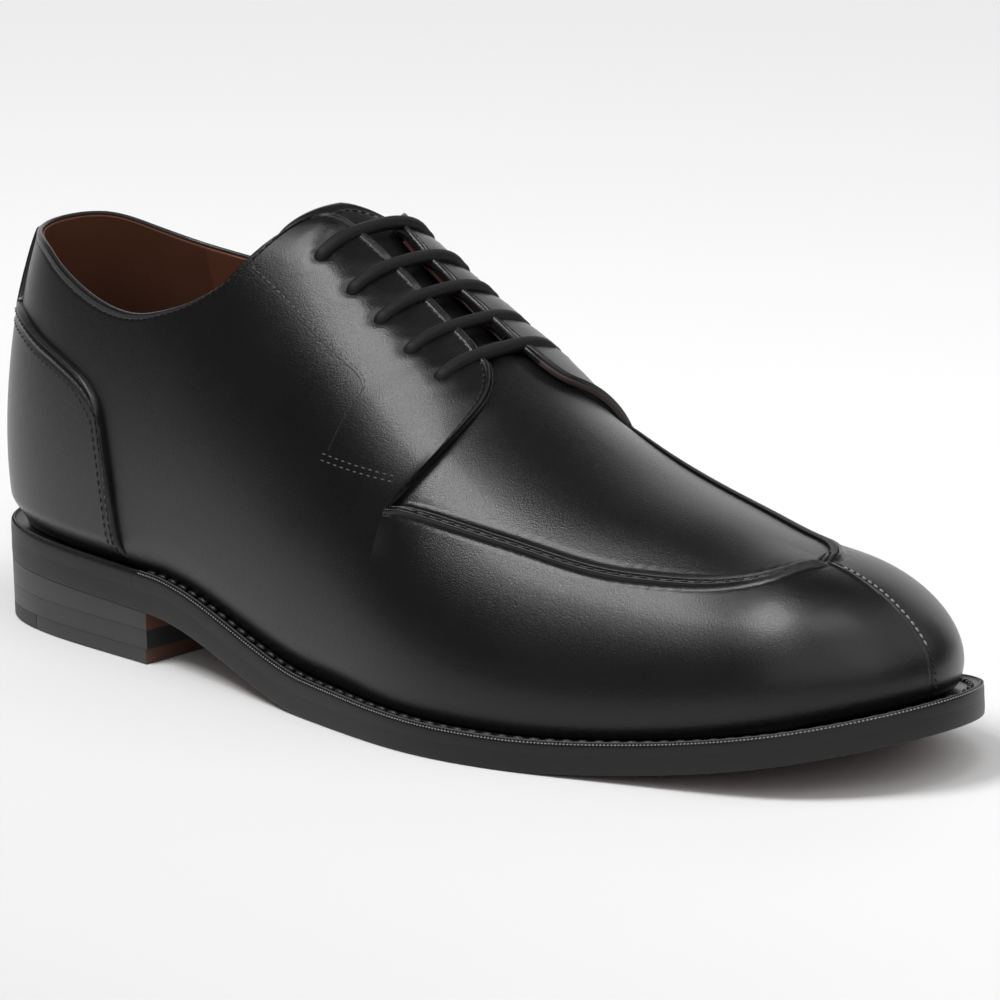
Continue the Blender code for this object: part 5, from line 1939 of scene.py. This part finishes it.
@dataclass
class SewnRows:
    """Every row of stitches on the shoe."""

    upper: Upper
    counter: Counter
    tongue: Tongue
    sole: Sole
    fine: StitchKind = StitchKind(2.1, 1.5, 0.20)
    # Eyestay and bartack stitches, sewn in dark grey thread that paints their sheen.
    eyestay: StitchKind = StitchKind(2.0, 1.35, 0.17)
    welt: StitchKind = StitchKind(4.2, 3.7, 0.72, 0.16)
    # Toe seam stitches: grey on the upper half as painted highlight, black on the lower half as painted
    # shade.
    toe: StitchKind = StitchKind(1.7, 1.4, 0.30)
    toe_low: StitchKind = StitchKind(1.65, 1.1, 0.22, 1.2)
    seam: StitchKind = StitchKind(0.9, 2.6, 0.42, 3.0)
    apron: StitchKind = StitchKind(3.4, 2.3, 0.26, 0.25)
    crease: StitchKind = StitchKind(0.5, 0.9, 0.13)
    bar: StitchKind = StitchKind(7.2, 7.0, 0.55)
    # Capsules along the welt's edge that paint its highlights: light ticks in grey thread and a bead line in
    # dark grey thread.
    prick: StitchKind = StitchKind(0.95, 0.72, 0.17)
    bead: StitchKind = StitchKind(0.6, 1.0, 0.13)
    lift: float = 0.06
    crease_lift: float = -0.04
    fading_lift: float = -0.07
    bar_lift: float = 0.12
    edge_inset: float = 2.55
    crease_drop: float = 0.9
    apron_span: Pair = (0.04, 0.97)
    apron_lateral: float = 0.1
    apron_medial: float = -1.0
    apron_lift: float = 0.3
    bartack_shifts: tuple[float, ...] = (0.0, 1.3)
    counter_insets: tuple[float, ...] = (1.4, 3.1)
    tongue_share: float = 0.05
    toe_shift: float = 0.05
    # Rises of the grey toe stitches, a painted highlight, and of the black ones below, painted shade.
    toe_rises: Pair = (34.0, 82.0)
    toe_low_rises: Pair = (4.0, 33.0)
    tip_rise: float = 86.3
    tip_span: Pair = (-2.6, 4.6)
    tip_along: Pair = (-0.41, 0.91)
    bar_shifts: tuple[float, ...] = (-1.9, -0.8, 0.3)
    welt_drop: float = 0.65
    # Inset and drop of the painted highlight ticks and bead line on the welt.
    prick_place: Pair = (0.2, 0.42)
    bead_place: Pair = (0.95, 0.02)
    eyestay_rows: Rows = ((3.73, 58.8), (4.23, 58.3), (4.62, 59.0), (4.78, 59.3), (4.86, 58.2), (4.87, 56.2))
    fading_rows: Rows = ((4.87, 56.2), (4.84, 51.5), (4.78, 41.0))
    bartack_rows: Rows = ((4.72, 38.4), (5.08, 41.6), (5.43, 45.2))

    def drawn(self, side: Side, rows: Rows) -> Line:
        """A line drawn over the quarter through stations and rises."""
        last = self.upper.last
        station, rise, _ = last.walk(side, rows, np.linspace(0.0, 1.0, 160))
        return last.over(side, station, rise, self.upper.wall)

    def toe_line(self, low: float, high: float) -> Line:
        """Line just inside of the toe's seam between two rises."""
        rise = np.linspace(low, high, 80)
        return self.upper.last.over(Side.MEDIAL, TOE - self.toe_shift, rise, self.upper.wall)

    def tip_line(self, shift: float) -> Line:
        """Line slanting across the tip of the apron, shifted square to itself, to be laid from above."""
        tip = self.upper.last.over(Side.LATERAL, TOE, self.tip_rise, self.upper.wall)[0]
        x, y = self.tip_along
        along, square = np.array([x, y, 0.0]), np.array([y, -x, 0.0])
        points = tip + shift * square + np.linspace(*self.tip_span, 30)[:, None] * along
        return points, np.broadcast_to(np.array([0.0, 0.0, 1.0]), points.shape)

    def build(self, finishes: Finishes, skin: Drape, heel: Drape, tongue: Drape) -> None:
        """Make the rows of the upper and of the welt.

        The upper's are in black thread, apart from the eyestay and bartack in dark grey thread whose grey
        paints their sheen, and the upper half of the toe's seam in grey thread as painted highlight above its
        lower half in black as painted shade.

        Args:
            finishes: the shoe's materials.
            skin: the upper's surface.
            heel: the counter's surface.
            tongue: the tongue's surface.
        """
        # Rows by thread: pale ones paint highlights in grey, dull ones paint sheen in dark grey.
        black, pale, dull = [], [], []
        upper = self.upper
        for side in Side:
            panel = upper.panels[side]
            slot_end = upper.slot_end
            collar = int(np.flatnonzero(panel.part == Part.COLLAR.value)[-1])
            flap = int(np.flatnonzero(panel.part == Part.FLAP_FRONT.value)[-1])
            for first, final in ((0, collar), (collar, slot_end), (slot_end, flap)):
                line = upper.line(panel.cut(np.s_[first:final + 1]), self.edge_inset, 0.0)
                black.append((skin.lay(line, self.lift), self.fine))
            # Eyestay stitches in dark grey thread, whose grey paints their sheen.
            dull.append((skin.lay(self.drawn(side, self.eyestay_rows), self.lift), self.eyestay))
            lower = tuple((station, rise - self.crease_drop) for station, rise in self.eyestay_rows)
            black.append((skin.lay(self.drawn(side, lower), self.crease_lift), self.crease))
            black.append((skin.lay(self.drawn(side, self.fading_rows), self.fading_lift), self.crease))
            front = panel.cut(np.s_[flap + 1:])
            low, high = self.apron_span
            apron = front.cut((front.share > low) & (front.share < high))
            away, kind = self.apron_lateral, self.apron
            if side is Side.MEDIAL:
                away, kind = self.apron_medial, self.seam
            black.append((skin.lay(upper.line(apron, away, self.apron_lift), self.lift), kind))
            for shift in self.bartack_shifts:
                rows = tuple((station, rise + shift) for station, rise in self.bartack_rows)
                dull.append((skin.lay(self.drawn(side, rows), self.lift), self.eyestay))
        for inset in self.counter_insets:
            black.append((heel.lay(self.counter.edge_line(inset), self.lift), self.fine))
        black.append((tongue.lay(self.tongue.top_line(self.tongue_share), self.lift), self.fine))
        # Toe seam: grey thread paints the highlight on the upper half, black thread the shade on the lower
        # half.
        pale.append((skin.lay(self.toe_line(*self.toe_rises), self.lift), self.toe))
        black.append((skin.lay(self.toe_line(*self.toe_low_rises), self.lift), self.toe_low))
        black.extend((skin.lay(self.tip_line(shift), self.bar_lift), self.bar) for shift in self.bar_shifts)
        welt = [(self.sole.stitch_line(self.sole.stitch_inset, self.welt_drop), self.welt)]
        # Painted highlights along the welt's pricked edge: grey ticks and a dark grey bead line.
        pricks = [(self.sole.stitch_line(*self.prick_place), self.prick)]
        beads = [(self.sole.stitch_line(*self.bead_place), self.bead)]
        stitching = Stitching(upper.last)
        stitching.build("upper_stitches", black, Slot.UPPER, finishes.black_thread)
        # Dark grey eyestay and bartack stitches: the grey is painted sheen.
        stitching.build("eyestay_stitches", dull, Slot.UPPER, finishes.dull_thread)
        # Grey toe stitches: painted highlight on the upper half of the toe's seam.
        stitching.build("toe_stitches", pale, Slot.UPPER, finishes.grey_thread)
        stitching.build("welt_stitches", welt, Slot.WELT, finishes.black_thread)
        # Painted highlights of the welt's edge.
        stitching.build("welt_pricks", pricks, Slot.WELT, finishes.grey_thread)
        stitching.build("welt_bead", beads, Slot.WELT, finishes.dull_thread)


@dataclass(frozen=True)
class PanelLight:
    """A soft panel that faces the shoe.

    Azimuth is in degrees from the toe's direction towards the inner side, elevation in degrees above the
    floor, size and distance in metres. The glow is its radiance: a flat panel's power is pi times area times
    radiance. A panel that isn't mirrored lights the shoe without showing in its gloss.
    """

    name: str
    azimuth: float
    elevation: float
    size: Pair
    glow: float
    distance: float = 1.6
    mirrored: bool = True


@dataclass
class Studio:
    """Floor, lights and the camera of the photograph."""

    last: Last
    azimuth: float = 45.54
    elevation: float = 13.91
    roll: float = -2.01
    distance: float = 2093.9
    target: Triple = (150.0, 0.0, 40.0)
    lens: float = 320.9
    sensor: float = 36.0
    shift_x: float = 0.0298
    shift_y: float = 0.0198
    lights: tuple[PanelLight, ...] = (
        PanelLight("key_panel", -112.0, 62.5, (0.70, 0.66), 15.0),
        PanelLight("top_panel", -15.0, 70.0, (0.8, 0.4), 5.0),
        PanelLight("front_panel", -46.0, 30.0, (2.4, 1.2), 1.05),
        PanelLight("right_panel", 25.0, 42.0, (2.4, 1.2), 1.05),
        PanelLight("back_panel", 135.0, 20.0, (3.0, 1.2), 1.05),
        PanelLight("floor_panel", -120.0, 75.0, (3.2, 3.2), 0.30, 2.6, False),
        PanelLight("toe_fill", 10.0, 32.0, (3.0, 1.8), 0.32, 2.4, False),
    )
    aim: Triple = (0.0, 0.0, 0.05)
    surround: float = 0.06
    floor_half: float = 6.0
    floor_drop: float = 0.0002

    def camera(self) -> None:
        """Camera from azimuth, elevation, roll and distance round a target."""
        az, el, roll = (math.radians(angle) for angle in (self.azimuth, self.elevation, self.roll))
        back = np.array([math.sin(az) * math.cos(el), -math.cos(az) * math.cos(el), math.sin(el)])
        right = np.array([math.cos(az), math.sin(az), 0.0])
        up = np.cross(back, right)
        turned = math.cos(roll) * right + math.sin(roll) * up
        upright = -math.sin(roll) * right + math.cos(roll) * up
        where = self.last.place(np.array(self.target) + self.distance * back)
        data = bpy.data.cameras.new("photo_camera")
        data.lens = self.lens
        data.sensor_width = self.sensor
        data.shift_x = self.shift_x
        data.shift_y = self.shift_y
        data.clip_start = 0.05
        data.clip_end = 30.0
        camera = bpy.data.objects.new("photo_camera", data)
        axes = np.eye(4)
        axes[:3, 0], axes[:3, 1], axes[:3, 2], axes[:3, 3] = turned, upright, back, where
        camera.matrix_world = Matrix(axes.tolist())
        bpy.context.scene.collection.objects.link(camera)
        bpy.context.scene.camera = camera

    def panel(self, light: PanelLight) -> None:
        """Make a panel light."""
        az, el = math.radians(light.azimuth), math.radians(light.elevation)
        back = np.array([math.cos(az) * math.cos(el), math.sin(az) * math.cos(el), math.sin(el)])
        right = np.array([-math.sin(az), math.cos(az), 0.0])
        data = bpy.data.lights.new(light.name, "AREA")
        data.shape = "RECTANGLE"
        data.size, data.size_y = light.size
        data.energy = math.pi * light.size[0] * light.size[1] * light.glow
        lamp = bpy.data.objects.new(light.name, data)
        axes = np.eye(4)
        axes[:3, 0], axes[:3, 1], axes[:3, 2] = right, np.cross(back, right), back
        axes[:3, 3] = light.distance * back + np.array(self.aim)
        lamp.matrix_world = Matrix(axes.tolist())
        lamp.visible_glossy = light.mirrored
        bpy.context.scene.collection.objects.link(lamp)

    def floor(self, finishes: Finishes) -> None:
        """A wide pale floor just under the sole."""
        half, z = self.floor_half, -self.floor_drop
        mesh = bpy.data.meshes.new("studio_floor")
        corners = [(-half, -half, z), (half, -half, z), (half, half, z), (-half, half, z)]
        mesh.from_pydata(corners, [], [(0, 1, 2, 3)])
        floor = bpy.data.objects.new("studio_floor", mesh)
        mesh.materials.append(finishes.floor)
        bpy.context.scene.collection.objects.link(floor)

    def build(self, finishes: Finishes) -> None:
        """Set up camera, floor, lights and a faint even surround."""
        self.camera()
        self.floor(finishes)
        for light in self.lights:
            self.panel(light)
        world = bpy.data.worlds.new("studio_surround")
        world.use_nodes = True
        shade = world.node_tree.nodes["Background"]
        shade.inputs["Color"].default_value = grey(1.0)
        shade.inputs["Strength"].default_value = self.surround
        bpy.context.scene.world = world
        bpy.context.scene.view_settings.view_transform = "Standard"


def main() -> None:
    """Build the studio, then the laces, the leathers, the sole and the stitches."""
    logging.basicConfig(level=logging.INFO, format="%(message)s")
    finishes = Finishes()
    last = Last()
    Studio(last).build(finishes)
    upper = Upper(last)
    Laces(upper).build(finishes)
    skin = Drape(upper.build(finishes), last)
    counter = Counter(last)
    heel = Drape(counter.build(finishes), last)
    tongue = Tongue(last)
    tongue_top = Drape(tongue.build(finishes), last)
    sole = Sole(last)
    sole.build(finishes)
    SewnRows(upper, counter, tongue, sole).build(finishes, skin, heel, tongue_top)
    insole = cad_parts["insole"]
    insole.data.materials.clear()
    insole.data.materials.append(finishes.lining)


if __name__ == "__main__":
    main()
